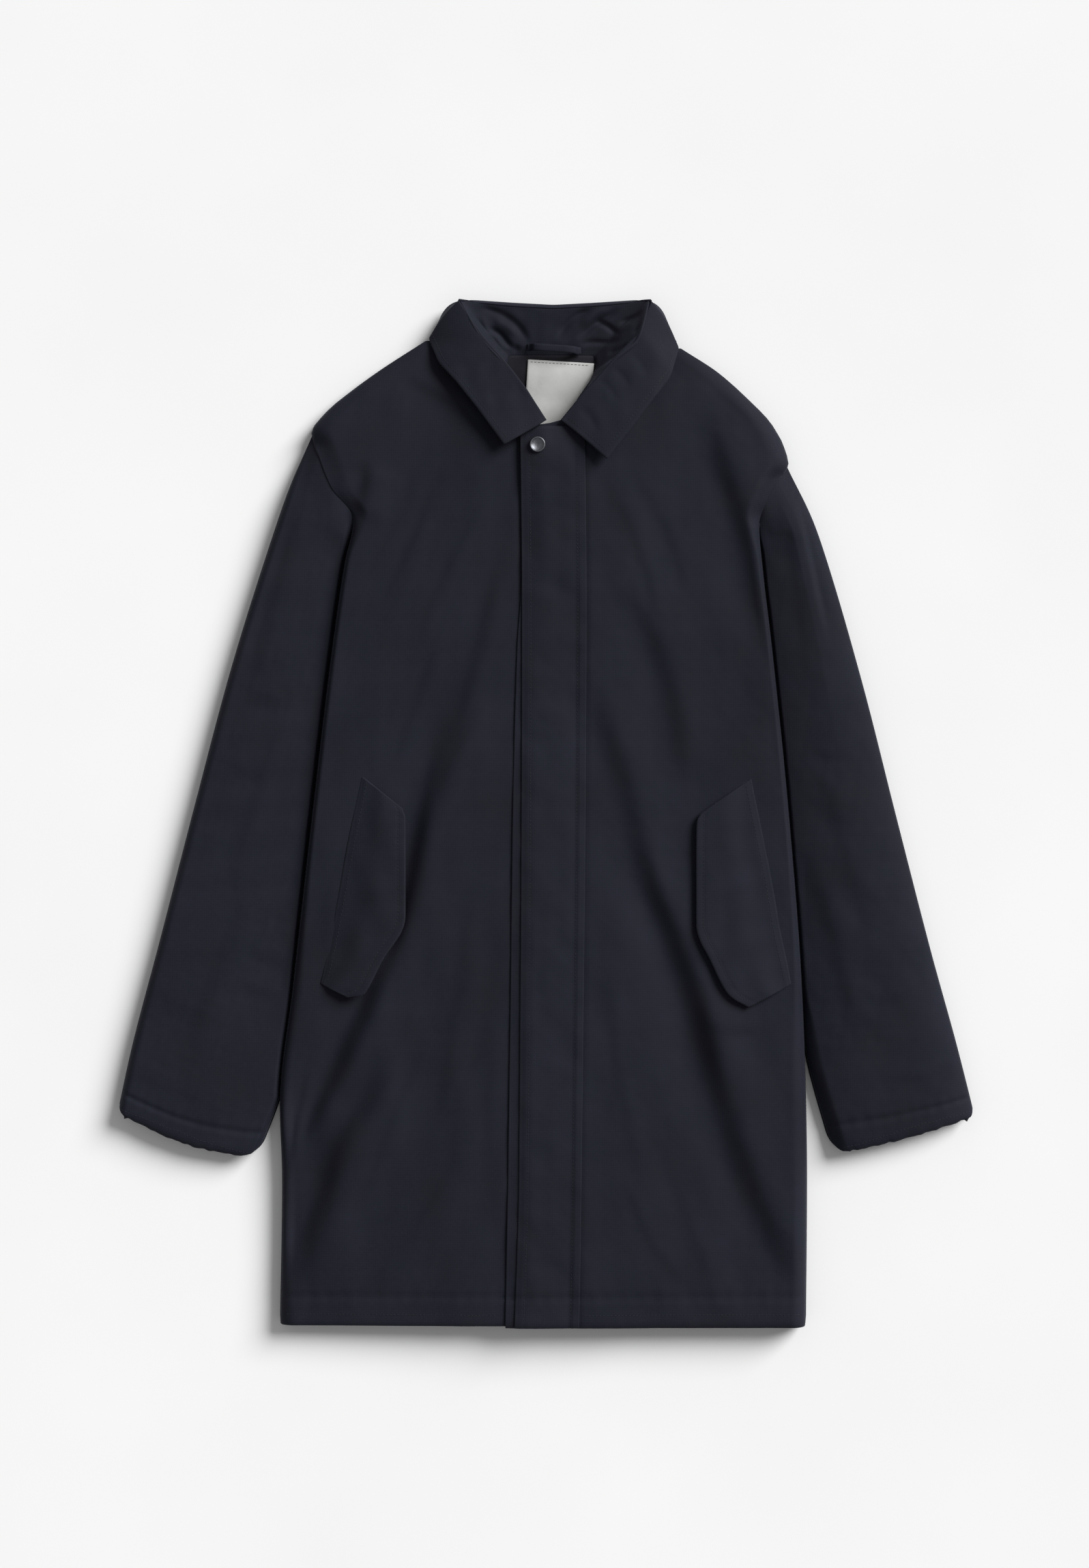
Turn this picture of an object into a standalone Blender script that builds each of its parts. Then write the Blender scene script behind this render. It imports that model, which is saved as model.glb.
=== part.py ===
"""A padded parka laid flat on its back, one object for each piece that is cut and sewn on.

The tables are in millimetres and MM turns them into metres. X runs to the wearer's left, Y from the hem to the
collar and Z up from the surface that the coat lies on. Right and left are the wearer's.
"""
import math
from collections import namedtuple

import bmesh
import bpy
import numpy as np

MM = 0.001
WALL = 3.0
TRIM_WALL = 2.5
FACING_WALL = 1.5
LABEL_WALL = 0.8
LOOP_WALL = 1.2
SEAM_GAP = 0.3

# How far in from a folded edge a panel takes to reach its full height.
BODY_ROLL = 45.0
SLEEVE_ROLL = 34.0
BACK_ROLL = 60.0
UNDER_ROLL = 40.0
# The wearer's left front lies over the right one, so it rides higher near the middle.
OVERLAP_RISE = 4.0
OVERLAP_EDGE = 14.0
OVERLAP_FADE = 46.0
# The collar leaf passes under the back at the neck and lifts it there.
NECK_LIFT = 3.7
NECK_LIFT_FROM = 376.0
NECK_LIFT_TO = 412.0
# Distances in from a rolled edge at which a panel is divided, close together where it turns down.
EDGE_INSETS = (0.0, 2.5, 8.0, 18.0, 32.0, 45.0)
SLEEVE_INSETS = (0.0, 2.5, 8.0, 18.0, 34.0)
BACK_INSETS = (0.0, 14.0, 30.0, 60.0)
ROW_STEP = 36.0

SNAP_X = -8.0
SNAP_Y = 339.0
SNAP_DIAMETER = 14.5
SNAP_HEIGHT = 3.2
LABEL_CENTRE = (11.5, 382.0)
LABEL_WIDTH = 61.0
LABEL_LENGTH = 72.0
LABEL_TURN = -3.5
LOOP_WIDTH = 6.5
LOOP_ARCH = 7.0
LOOP_BASE = 11.3

# One row for each section across a front panel. The top row dips by `dip` from its outer to its inner end.
FrontRow = namedtuple("FrontRow", "y outer inner seam lift dip")
FRONT_RIGHT = (
    FrontRow(-473, -246, 12, 10.0, 4.9, 0),
    FrontRow(-340, -244, 12, 11.0, 5.9, 0),
    FrontRow(-270, -246, 12, 13.0, 7.9, 0),
    FrontRow(-160, -234, 12, 14.0, 8.9, 0),
    FrontRow(0, -216, 12, 14.0, 8.9, 0),
    FrontRow(150, -198, 12, 14.0, 8.9, 0),
    FrontRow(232, -186, 12, 13.9, 8.8, 0),
    FrontRow(272, -178, 12, 10.0, 3.4, 0),
    FrontRow(300, -198, 12, 19.0, 0.0, 0),
    FrontRow(330, -210, 12, 19.0, 0.0, 0),
    FrontRow(352, -217, -3, 9.0, 3.9, 0),
    FrontRow(372, -203, -16, 9.0, 3.9, 0),
    FrontRow(392, -179, -28, 9.0, 3.9, 0),
    FrontRow(410, -154, -38, 9.6, 3.4, 0),
    FrontRow(437, -112, -47, 10.2, 3.7, 13),
)
FRONT_LEFT = (
    FrontRow(-475, 240, -39.5, 10.0, 4.9, 0),
    FrontRow(-340, 241, -37, 11.0, 5.9, 0),
    FrontRow(-270, 240, -36, 13.0, 7.9, 0),
    FrontRow(-160, 236, -34.5, 14.0, 8.9, 0),
    FrontRow(0, 224, -32.5, 14.0, 8.9, 0),
    FrontRow(150, 209, -30, 14.0, 8.9, 0),
    FrontRow(228, 200, -26, 13.9, 8.8, 0),
    FrontRow(266, 197, -25, 10.0, 3.4, 0),
    FrontRow(290, 204, -25, 19.0, 0.0, 0),
    FrontRow(306, 213, -25, 17.0, 0.0, 0),
    FrontRow(322, 224, -25, 9.0, 3.9, 0),
    FrontRow(345, 217.5, -25, 9.0, 3.9, 0),
    FrontRow(356, 211, -25, 9.0, 3.9, 0),
    FrontRow(361, 208, 14, 9.0, 3.9, 0),
    FrontRow(385, 185, 31, 9.0, 3.9, 0),
    FrontRow(408, 159, 46, 9.6, 3.4, 0),
    FrontRow(430, 125, 57, 10.2, 3.7, 8),
)
# Shoulder and foot of each armhole, where a sleeve joins the panels.
ARMHOLE_RIGHT = (352.0, 272.0)
ARMHOLE_LEFT = (322.0, 266.0)
PLACKET_TOP = 356.0

CrownRow = namedtuple("CrownRow", "y height")
CROWN = (
    CrownRow(-475, 24.0),
    CrownRow(-300, 26.0),
    CrownRow(0, 27.0),
    CrownRow(180, 27.0),
    CrownRow(272, 26.0),
    CrownRow(340, 24.0),
    CrownRow(385, 20.0),
    CrownRow(410, 16.0),
    CrownRow(437, 11.8),
)

PlacketRow = namedtuple("PlacketRow", "y left right")
PLACKET = (
    PlacketRow(-475, -31.5, 30.3),
    PlacketRow(-340, -27.5, 32.5),
    PlacketRow(200, -24.2, 37.0),
    PlacketRow(356, -24.2, 35.5),
)

# One row for each length of a large fold in the fronts. It is a trough where depth is negative, else a ridge.
FoldRow = namedtuple("FoldRow", "x0 y0 x1 y1 width depth")
FOLDS = (
    FoldRow(-42, 180, -97, 30, 17, -2.5),
    FoldRow(-97, 30, -140, -110, 17, -4.0),
    FoldRow(-128, -60, -190, -230, 16, -4.5),
    FoldRow(-180, -200, -226, -400, 15, -4.5),
    FoldRow(-110, -60, -196, -380, 20, 3.0),
    FoldRow(50, 110, 92, -50, 17, -3.5),
    FoldRow(88, -30, 140, -170, 17, -5.0),
    FoldRow(136, -160, 184, -330, 17, -5.0),
    FoldRow(176, -355, 222, -430, 14, -4.0),
    FoldRow(72, -70, 120, -280, 22, 2.5),
    FoldRow(160, 352, 196, 180, 13, -5.0),
    FoldRow(96, 172, 122, 20, 18, -3.0),
)

# One row for each section across a sleeve, from the armhole to the cuff.
SleeveRow = namedtuple("SleeveRow", "along outer_x outer_y inner_x inner_y seam inner crown ease")
SLEEVE_RIGHT = (
    SleeveRow(0, -216.5, 352, -178, 272, 9.0, 10.0, 24, 45),
    SleeveRow(45, -235, 308, -186.5, 252, 8.5, 7.5, 24.5, 50),
    SleeveRow(100, -252, 259, -182, 229, 8.0, 6.5, 25, 66),
    SleeveRow(235, -291.5, 133, -191.5, 95, 7.5, 6.5, 25, 70),
    SleeveRow(365, -325, 7, -208.5, -30.5, 7.5, 6.5, 24, 70),
    SleeveRow(495, -357.5, -119, -227.5, -157, 7.5, 6.5, 24, 60),
    SleeveRow(600, -384, -220, -243.5, -251, 7.5, 6.8, 23, 44),
    SleeveRow(660, -396, -271, -283, -315, 7.5, 7.0, 22, 38),
)
SLEEVE_LEFT = (
    SleeveRow(0, 224, 322, 197, 266, 9.0, 10.0, 24, 45),
    SleeveRow(40, 240.5, 286, 201.5, 245, 8.5, 7.5, 24.5, 50),
    SleeveRow(85, 254, 250, 196, 224, 8.0, 6.5, 25, 66),
    SleeveRow(220, 292, 121, 203, 83, 7.5, 6.5, 25, 70),
    SleeveRow(350, 324, -5, 217, -43, 7.5, 6.5, 24, 70),
    SleeveRow(480, 356.5, -131, 231.5, -157, 7.5, 6.5, 24, 60),
    SleeveRow(570, 380, -216, 241.5, -226, 7.5, 6.8, 23, 44),
    SleeveRow(640, 396, -275, 272, -315, 7.5, 7.0, 22, 38),
)
CUFF_BOW_RIGHT = 9.0
CUFF_BOW_LEFT = 7.0

# One row for each section through the collar leaf, from the wearer's right tip round the back to the left tip.
LeafRow = namedtuple("LeafRow", "roll bend edge")
LEAF = (
    LeafRow((0, 360, 33), (-10, 352, 38), (-37.5, 338, 30)),
    LeafRow((-20, 391, 34), (-33, 385, 41), (-62.5, 372, 27)),
    LeafRow((-37.5, 414, 35), (-49, 409, 42), (-82, 397, 24)),
    LeafRow((-60, 440, 33), (-72, 437, 40), (-99, 416, 19)),
    LeafRow((-81, 471.5, 22), (-100, 462.5, 21), (-111, 441, 13.0)),
    LeafRow((-76, 473.5, 17), (-99, 475.5, 6), (-101, 445, 5)),
    LeafRow((-64, 472.5, 15), (-76, 485.5, -1.8), (-86, 437, 0)),
    LeafRow((-30, 469.5, 15), (-31, 485.5, -1.8), (-42, 421, 0)),
    LeafRow((7, 467.5, 15), (7, 483.5, -1.8), (7, 419, 0)),
    LeafRow((44, 469.5, 15), (45, 485.5, -1.8), (54, 421, 0)),
    LeafRow((79, 472.5, 15), (91, 485.5, -1.8), (100, 435, 0)),
    LeafRow((91, 473.5, 17), (113, 474.5, 6), (114, 440, 5)),
    LeafRow((97, 471.5, 22), (114, 460.5, 21), (124, 433, 13.5)),
    LeafRow((85, 440, 34), (98, 437, 41), (116, 404, 19)),
    LeafRow((63, 418, 36), (76, 414, 43), (100, 384, 24)),
    LeafRow((37, 389, 35), (53, 384, 43), (78, 355, 28)),
    LeafRow((13.5, 360, 33), (28, 352, 40), (54.5, 325, 29)),
)
LEAF_STEPS = (0.0, 0.14, 0.32, 0.55, 0.8, 1.0)

# One row for each section through the collar stand, from the neck seam to just inside the roll of the leaf.
StandRow = namedtuple("StandRow", "base top")
STAND = (
    StandRow((-18, 373, 25.5), (-9.0, 374, 28.6)),
    StandRow((-29, 391, 23.5), (-20.0, 391.5, 29.6)),
    StandRow((-38, 411, 19.5), (-37.5, 414, 31.8)),
    StandRow((-40.5, 418, 18.0), (-58.0, 438, 29.6)),
    StandRow((-38, 424.5, 13.2), (-73, 467.5, 19.0)),
    StandRow((-30, 423.6, 10.0), (-56, 468.9, 14.6)),
    StandRow((-12, 423.6, 9.8), (-25, 466.3, 14.6)),
    StandRow((7, 423.6, 9.8), (7, 464.4, 14.6)),
    StandRow((26, 423.6, 9.8), (39, 466.3, 14.6)),
    StandRow((42, 423.6, 10.0), (71, 468.9, 14.6)),
    StandRow((48, 423.5, 13.6), (89, 467.5, 19.0)),
    StandRow((50.5, 416, 19.0), (83.5, 438, 30.6)),
    StandRow((45, 406, 19.8), (62, 417, 32.8)),
    StandRow((35, 388, 24.0), (37, 389, 31.8)),
    StandRow((24, 373, 28.0), (24, 374, 30.8)),
)

# One row for each section of a pocket flap, from its sewn edge to its free edge. Puff is how far it stands off.
FlapRow = namedtuple("FlapRow", "seam_x seam_y free_x free_y puff")
FLAP_RIGHT = (
    FlapRow(-169.8, 33.1, -132.6, 4.0, 1.2),
    FlapRow(-172.5, 20.0, -130.1, -6.0, 2.0),
    FlapRow(-181.0, -20.0, -130.1, -40.0, 2.6),
    FlapRow(-189.0, -64.0, -130.1, -95.0, 2.6),
    FlapRow(-199.0, -118.0, -151.0, -135.0, 2.4),
    FlapRow(-205.5, -148.0, -170.5, -168.0, 2.0),
    FlapRow(-207.6, -157.2, -183.0, -169.8, 1.2),
)
FLAP_LEFT = (
    FlapRow(188.7, 30.6, 142.0, -1.0, 1.4),
    FlapRow(191.0, 18.0, 138.9, -9.0, 3.2),
    FlapRow(199.0, -20.0, 138.3, -45.0, 4.5),
    FlapRow(207.0, -60.0, 138.3, -101.7, 4.5),
    FlapRow(216.0, -112.0, 152.0, -137.0, 4.0),
    FlapRow(222.0, -140.0, 169.0, -168.0, 3.0),
    FlapRow(225.2, -158.0, 186.0, -178.5, 1.4),
)
FLAP_COLUMNS = (0.0, 0.12, 0.35, 0.6, 0.85, 1.0)
FLAP_CLEARANCE = 0.9

# Colour is linear red, green and blue.
MaterialRow = namedtuple("MaterialRow", "name colour roughness metallic")
MATERIALS = (
    MaterialRow("shell_cloth", (0.020, 0.021, 0.031), 0.75, 0.0),
    MaterialRow("lining_cloth", (0.018, 0.019, 0.027), 0.65, 0.0),
    MaterialRow("label_satin", (0.48, 0.49, 0.47), 0.5, 0.0),
    MaterialRow("snap_metal", (0.035, 0.036, 0.042), 0.3, 1.0),
)


def smooth(rows, key, value, at):
    """Read one column of a table at a place between its rows, with no overshoot."""
    keys = np.array([getattr(row, key) for row in rows], float)
    values = np.array([getattr(row, value) for row in rows], float)
    step = np.diff(keys)
    rise = np.diff(values) / step
    slope = np.zeros(len(keys))
    slope[0] = rise[0]
    slope[-1] = rise[-1]
    for i in range(1, len(keys) - 1):
        if rise[i - 1] * rise[i] > 0:
            slope[i] = 2 * rise[i - 1] * rise[i] / (rise[i - 1] + rise[i])
    at = float(np.clip(at, keys[0], keys[-1]))
    i = int(np.clip(np.searchsorted(keys, at) - 1, 0, len(step) - 1))
    t = (at - keys[i]) / step[i]
    start = (1 + 2 * t) * (1 - t) ** 2 * values[i] + t * (1 - t) ** 2 * step[i] * slope[i]
    end = t * t * (3 - 2 * t) * values[i + 1] + t * t * (t - 1) * step[i] * slope[i + 1]
    return start + end


def ease(t):
    """Go from 0 to 1 with no slope at either end."""
    t = min(max(t, 0.0), 1.0)
    return t * t * (3 - 2 * t)


def rounded(t):
    """Go from 0 to 1 along a quarter circle, steep at first."""
    t = min(max(t, 0.0), 1.0)
    return math.sqrt(t * (2 - t))


def mix(a, b, t):
    return a + (b - a) * t


def divided(stops, step):
    """Give places along a list of stops that are at most one step apart and keep every stop."""
    places = [stops[0]]
    for start, end in zip(stops, stops[1:]):
        count = max(1, math.ceil(abs(end - start) / step))
        places += [mix(start, end, (i + 1) / count) for i in range(count)]
    return places


def fold_height(x, y):
    """Add up the large folds at one place on the fronts."""
    total = 0.0
    for fold in FOLDS:
        run = np.array([fold.x1 - fold.x0, fold.y1 - fold.y0])
        length = float(np.hypot(*run))
        offset = np.array([x - fold.x0, y - fold.y0])
        along = float(offset @ run) / length ** 2
        across = float(offset[0] * run[1] - offset[1] * run[0]) / length
        taper = ease((along + 0.12) / 0.24) * ease((1.12 - along) / 0.24)
        total += fold.depth * taper * math.exp(-(across / fold.width) ** 2)
    return total


def front_height(rows, x, y):
    """Height of the outer face of a front panel."""
    outer = smooth(rows, "y", "outer", y)
    seam = smooth(rows, "y", "seam", y)
    crown = smooth(CROWN, "y", "height", y)
    inset = abs(x - outer) / BODY_ROLL
    height = mix(seam, crown, rounded(inset)) + fold_height(x, y) * ease(inset)
    if rows is FRONT_LEFT:
        height += OVERLAP_RISE * (1 - ease((x - OVERLAP_EDGE) / OVERLAP_FADE)) * ease((430 - y) / 60)
    return height


def top_height(x, y):
    """Height of the uppermost face of the fronts and the placket."""
    left_front_edge = smooth(FRONT_LEFT, "y", "inner", y)
    height = front_height(FRONT_LEFT if x >= left_front_edge else FRONT_RIGHT, x, y)
    if y <= PLACKET_TOP + 2 and smooth(PLACKET, "y", "left", y) - 2 <= x <= smooth(PLACKET, "y", "right", y) + 2:
        height = front_height(FRONT_LEFT, x, y) + SEAM_GAP + TRIM_WALL
    return height


def back_height(x, y):
    """Height of the underside of the back panel, which is 0 where it rests."""
    right = smooth(FRONT_RIGHT, "y", "lift", y) * (1 - ease((x - smooth(FRONT_RIGHT, "y", "outer", y)) / BACK_ROLL))
    left = smooth(FRONT_LEFT, "y", "lift", y) * (1 - ease((smooth(FRONT_LEFT, "y", "outer", y) - x) / BACK_ROLL))
    neck = NECK_LIFT * ease((y - NECK_LIFT_FROM) / (NECK_LIFT_TO - NECK_LIFT_FROM))
    return max(right, left, neck)


def front_grid(rows):
    """Points on the outer face of a front panel, row by row from the hem."""
    side = 1 if rows[0].outer > rows[0].inner else -1
    grid = []
    for y in divided([row.y for row in rows], ROW_STEP):
        outer = smooth(rows, "y", "outer", y)
        inner = smooth(rows, "y", "inner", y)
        dip = rows[-1].dip * ease((y - rows[-2].y) / (rows[-1].y - rows[-2].y))
        places = [outer - side * inset for inset in EDGE_INSETS]
        if rows is FRONT_LEFT and y <= PLACKET_TOP:
            left = smooth(PLACKET, "y", "left", y)
            right = smooth(PLACKET, "y", "right", y)
            places += [mix(places[-1], right, i / 4) for i in range(1, 5)]
            places += [(left + right) / 2, left, inner]
        else:
            places += [mix(places[-1], inner, i / 7) for i in range(1, 8)]
        line = []
        for x in places:
            drop = dip * ease(abs(x - outer) / abs(inner - outer))
            line.append((x, y - drop, front_height(rows, x, y - drop)))
        grid.append(line)
    return grid


def placket_grid(front):
    """The placket lies on the left front, so it takes that panel's points moved up."""
    return [[(x, y, z + SEAM_GAP + TRIM_WALL) for x, y, z in line[-4:-1]] for line in front if line[-1][1] <= PLACKET_TOP]


def back_grid():
    """Points on the underside of the back panel."""
    stops = sorted({row.y for row in FRONT_RIGHT + FRONT_LEFT if -473 <= row.y <= 410 and row.y not in (361, 385, 356)})
    grid = []
    for y in divided(stops, ROW_STEP) + [437]:
        right = smooth(FRONT_RIGHT, "y", "outer", y)
        left = smooth(FRONT_LEFT, "y", "outer", min(y, 430))
        places = [right + inset for inset in BACK_INSETS]
        places += [mix(right + BACK_INSETS[-1], left - BACK_INSETS[-1], i / 6) for i in range(1, 6)]
        places += [left - inset for inset in reversed(BACK_INSETS)]
        line = []
        for x in places:
            level = y
            if y > 410:
                level = min(mix(437, 424, ease((x - right) / 50)), mix(430, 424, ease((left - x) / 50)))
                level = mix(437, level, ease((x - right) / 20))
            line.append((x, level, back_height(x, level)))
        grid.append(line)
    return grid


def polyline(grid_edge, y):
    """Place on a panel's edge, which runs straight between the points it is divided at."""
    ys = [point[1] for point in grid_edge]
    return [float(np.interp(y, ys, [point[axis] for point in grid_edge])) for axis in (0, 2)]


def sleeve_section(rows, along, bow):
    """Ends of one section across a sleeve, and how far its middle bows toward the cuff."""
    names = ("outer_x", "outer_y", "inner_x", "inner_y", "seam", "inner", "crown", "ease")
    values = {name: smooth(rows, "along", name, along) for name in names}
    values["bow"] = bow * ease((along - rows[-3].along) / (rows[-1].along - rows[-3].along))
    return values


def sleeve_grid(rows, armhole, edge, bow, under):
    """Points of a sleeve panel from the armhole to the cuff, on the outer face of the upper or the lower one."""
    shoulder, foot = armhole
    side = -1 if rows[0].outer_x < 0 else 1
    grid = []
    for along in divided([row.along for row in rows], 42.0):
        cut = sleeve_section(rows, along, bow)
        width = math.hypot(cut["inner_x"] - cut["outer_x"], cut["inner_y"] - cut["outer_y"])
        places = [inset for inset in SLEEVE_INSETS]
        places += [mix(places[-1], width, share) for share in (0.25, 0.5, 0.7, 0.86, 1.0)]
        joined = (1 - ease(along / rows[2].along)) ** 2
        line = []
        for place in places:
            t = place / width
            x = mix(cut["outer_x"], cut["inner_x"], t)
            y = mix(cut["outer_y"], cut["inner_y"], t) - cut["bow"] * math.sin(math.pi * t)
            if under:
                z = (cut["seam"] - 5.1) * (1 - ease(place / UNDER_ROLL))
                z = max(z, max(0, cut["inner"] - 7) * 1.3 * (1 - ease((width - place) / UNDER_ROLL)))
            else:
                outer_rise = mix(cut["seam"], cut["crown"], rounded(place / SLEEVE_ROLL))
                inner_rise = mix(cut["inner"], cut["crown"], ease((width - place) / cut["ease"]))
                z = min(outer_rise, inner_rise)
            seam_y = mix(shoulder, foot, t)
            seam_x, seam_z = polyline(edge, seam_y)
            seam_x += side * 0.95
            straight_x = mix(rows[0].outer_x, rows[0].inner_x, t)
            straight_y = mix(rows[0].outer_y, rows[0].inner_y, t)
            x += (seam_x - straight_x) * joined
            y += (seam_y - straight_y) * joined
            line.append((x, y, mix(z, seam_z, joined)))
        grid.append(line)
    return grid


def leaf_grid():
    """Points on the outer face of the collar leaf, which clears the fronts wherever it lies over them."""
    grid = []
    for row in LEAF:
        roll, bend, edge = (np.array(point, float) for point in row)
        line = []
        for t in LEAF_STEPS:
            x, y, z = (1 - t) ** 2 * roll + 2 * t * (1 - t) * bend + t * t * edge
            if row.edge[2] > 12 and y < 430:
                z = max(z, top_height(x, y) + TRIM_WALL + 1.2)
            line.append((x, y, z))
        grid.append(line)
    return grid


def stand_grid():
    """Points on the inner face of the collar stand, which shows inside the neck."""
    grid = []
    for row in STAND:
        base, top = (np.array(point, float) for point in row)
        grid.append([tuple(base + (top - base) * t) for t in (0.0, 0.3, 0.65, 1.0)])
    return grid


def flap_grid(rows, front):
    """Points on the outer face of a pocket flap, standing off its front panel by its puff."""
    grid = []
    for row in rows:
        line = []
        for t in FLAP_COLUMNS:
            x = mix(row.seam_x, row.free_x, t)
            y = mix(row.seam_y, row.free_y, t)
            stand_off = FLAP_CLEARANCE + (row.puff + 0.7) * ease(t / 0.5)
            line.append((x, y, front_height(front, x, y) + TRIM_WALL + stand_off))
        grid.append(line)
    return grid


def facing_grid():
    """The neck facing lies on the inner face of the back."""
    grid = []
    for y in (320, 345, 370, 385, 398, 411, 422):
        half = mix(62, 44, ease((y - 340) / 80))
        line = []
        for share in (-1, -0.5, 0, 0.5, 1):
            x = 6 + share * half
            line.append((x, y, back_height(x, y) + WALL + SEAM_GAP + 0.3 + FACING_WALL))
        grid.append(line)
    return grid


def label_grid():
    """The label lies on the neck facing, slightly turned."""
    turn = math.radians(LABEL_TURN)
    grid = []
    for v in (-0.5, -0.25, 0, 0.25, 0.5):
        line = []
        for u in (-0.5, -0.17, 0.17, 0.5):
            x = LABEL_CENTRE[0] + u * LABEL_WIDTH * math.cos(turn) - v * LABEL_LENGTH * math.sin(turn)
            y = LABEL_CENTRE[1] + u * LABEL_WIDTH * math.sin(turn) + v * LABEL_LENGTH * math.cos(turn)
            lining = back_height(x, y) + WALL + SEAM_GAP + 0.3 + FACING_WALL
            line.append((x, y, lining + 0.6 + LABEL_WALL))
        grid.append(line)
    return grid


def loop_grid():
    """The hanger loop is a short tape that arches between its two sewn ends at the neck seam."""
    base = LOOP_BASE + LOOP_WALL
    grid = []
    for share in (0, 0.08, 0.18, 0.3, 0.42, 0.58, 0.7, 0.82, 0.92, 1):
        x = mix(-17, 32, share)
        y = mix(431.0, 427.5, share)
        arch = LOOP_ARCH * rounded(min(share, 1 - share) / 0.3) * ease(min(share, 1 - share) / 0.12)
        grid.append([(x, y + side * LOOP_WIDTH / 2, base + arch) for side in (-1, 1)])
    return grid


def materials():
    """Make the plain materials."""
    made = {}
    for row in MATERIALS:
        material = bpy.data.materials.new(row.name)
        material.use_nodes = True
        shader = material.node_tree.nodes["Principled BSDF"]
        shader.inputs["Base Color"].default_value = (*row.colour, 1.0)
        shader.inputs["Roughness"].default_value = row.roughness
        shader.inputs["Metallic"].default_value = row.metallic
        made[row.name] = material
    return made


def sheet(name, grid, wall, material, collection, face_up=True):
    """Make one cloth piece: a grid moved onto its points, then thickened away from its outer face."""
    down = len(grid) - 1
    across = len(grid[0]) - 1
    bm = bmesh.new()
    bmesh.ops.create_grid(bm, x_segments=across, y_segments=down, size=1.0)
    for vertex in bm.verts:
        i = round((vertex.co.x + 1) / 2 * across)
        j = round((vertex.co.y + 1) / 2 * down)
        vertex.co = [value * MM for value in grid[j][i]]
    bm.normal_update()
    bm.faces.ensure_lookup_table()
    middle = bm.faces[len(bm.faces) // 2 + across // 2]
    if (middle.normal.z > 0) != face_up:
        bmesh.ops.reverse_faces(bm, faces=bm.faces)
    mesh = bpy.data.meshes.new(name)
    bm.to_mesh(mesh)
    bm.free()
    piece = bpy.data.objects.new(name, mesh)
    collection.objects.link(piece)
    piece.data.materials.append(material)
    thick = piece.modifiers.new("wall", "SOLIDIFY")
    thick.thickness = wall * MM
    thick.offset = -1.0
    thick.use_even_offset = False
    return piece


def snap_cap(collection, material):
    """Make the domed cap of the snap by turning its profile."""
    radius = SNAP_DIAMETER / 2
    base = front_height(FRONT_LEFT, SNAP_X, SNAP_Y) + SEAM_GAP + TRIM_WALL + SEAM_GAP + 0.2
    profile = [(0, 0), (radius, 0), (radius, 0.25 * SNAP_HEIGHT)]
    profile += [
        (radius * math.cos(math.radians(angle)), SNAP_HEIGHT * (0.25 + 0.75 * math.sin(math.radians(angle))))
        for angle in (25, 50, 72)
    ]
    profile.append((0, SNAP_HEIGHT))
    bm = bmesh.new()
    points = [bm.verts.new((r * MM, 0, h * MM)) for r, h in profile]
    edges = [bm.edges.new(pair) for pair in zip(points, points[1:])]
    bmesh.ops.spin(
        bm, geom=points + edges, cent=(0, 0, 0), axis=(0, 0, 1), angle=2 * math.pi, steps=28, use_merge=True
    )
    bmesh.ops.remove_doubles(bm, verts=bm.verts, dist=0.00001)
    bmesh.ops.recalc_face_normals(bm, faces=bm.faces)
    mesh = bpy.data.meshes.new("snap_cap")
    bm.to_mesh(mesh)
    bm.free()
    piece = bpy.data.objects.new("snap_cap", mesh)
    piece.location = (SNAP_X * MM, SNAP_Y * MM, base * MM)
    piece.data.materials.append(material)
    collection.objects.link(piece)


def build():
    for old in list(bpy.data.objects):
        bpy.data.objects.remove(old, do_unlink=True)
    collection = bpy.data.collections.new("parka")
    bpy.context.scene.collection.children.link(collection)
    slots = materials()
    cloth = slots["shell_cloth"]
    front_right = front_grid(FRONT_RIGHT)
    front_left = front_grid(FRONT_LEFT)
    back = back_grid()
    sheet("back", back, WALL, cloth, collection, face_up=False)
    sheet("front_right", front_right, WALL, cloth, collection)
    sheet("front_left", front_left, WALL, cloth, collection)
    sheet("placket", placket_grid(front_left), TRIM_WALL, cloth, collection)
    for side, rows, front, armhole, bow in (
        ("right", SLEEVE_RIGHT, front_right, ARMHOLE_RIGHT, CUFF_BOW_RIGHT),
        ("left", SLEEVE_LEFT, front_left, ARMHOLE_LEFT, CUFF_BOW_LEFT),
    ):
        edge = [line[0] for line in front]
        back_edge = [line[0 if side == "right" else -1] for line in back]
        upper = sleeve_grid(rows, armhole, edge, bow, under=False)
        lower = sleeve_grid(rows, armhole, back_edge, bow, under=True)
        sheet("sleeve_" + side + "_top", upper, WALL, cloth, collection)
        sheet("sleeve_" + side + "_under", lower, WALL, cloth, collection, face_up=False)
    sheet("collar_leaf", leaf_grid(), TRIM_WALL, cloth, collection, face_up=False)
    sheet("collar_stand", stand_grid(), TRIM_WALL, cloth, collection)
    sheet("pocket_flap_right", flap_grid(FLAP_RIGHT, FRONT_RIGHT), TRIM_WALL, cloth, collection)
    sheet("pocket_flap_left", flap_grid(FLAP_LEFT, FRONT_LEFT), TRIM_WALL, cloth, collection)
    sheet("neck_facing", facing_grid(), FACING_WALL, slots["lining_cloth"], collection)
    sheet("neck_label", label_grid(), LABEL_WALL, slots["label_satin"], collection)
    sheet("hanger_loop", loop_grid(), LOOP_WALL, cloth, collection)
    snap_cap(collection, slots["snap_metal"])


build()
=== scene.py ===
"""Looks of the padded parka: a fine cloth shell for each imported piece, with creases, stitches and materials.

The tables are in millimetres and MM turns them into metres. X runs to the wearer's left, Y from the hem to
the collar and Z up from the floor. Right and left are the wearer's.
"""
import math
from collections import namedtuple

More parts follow.
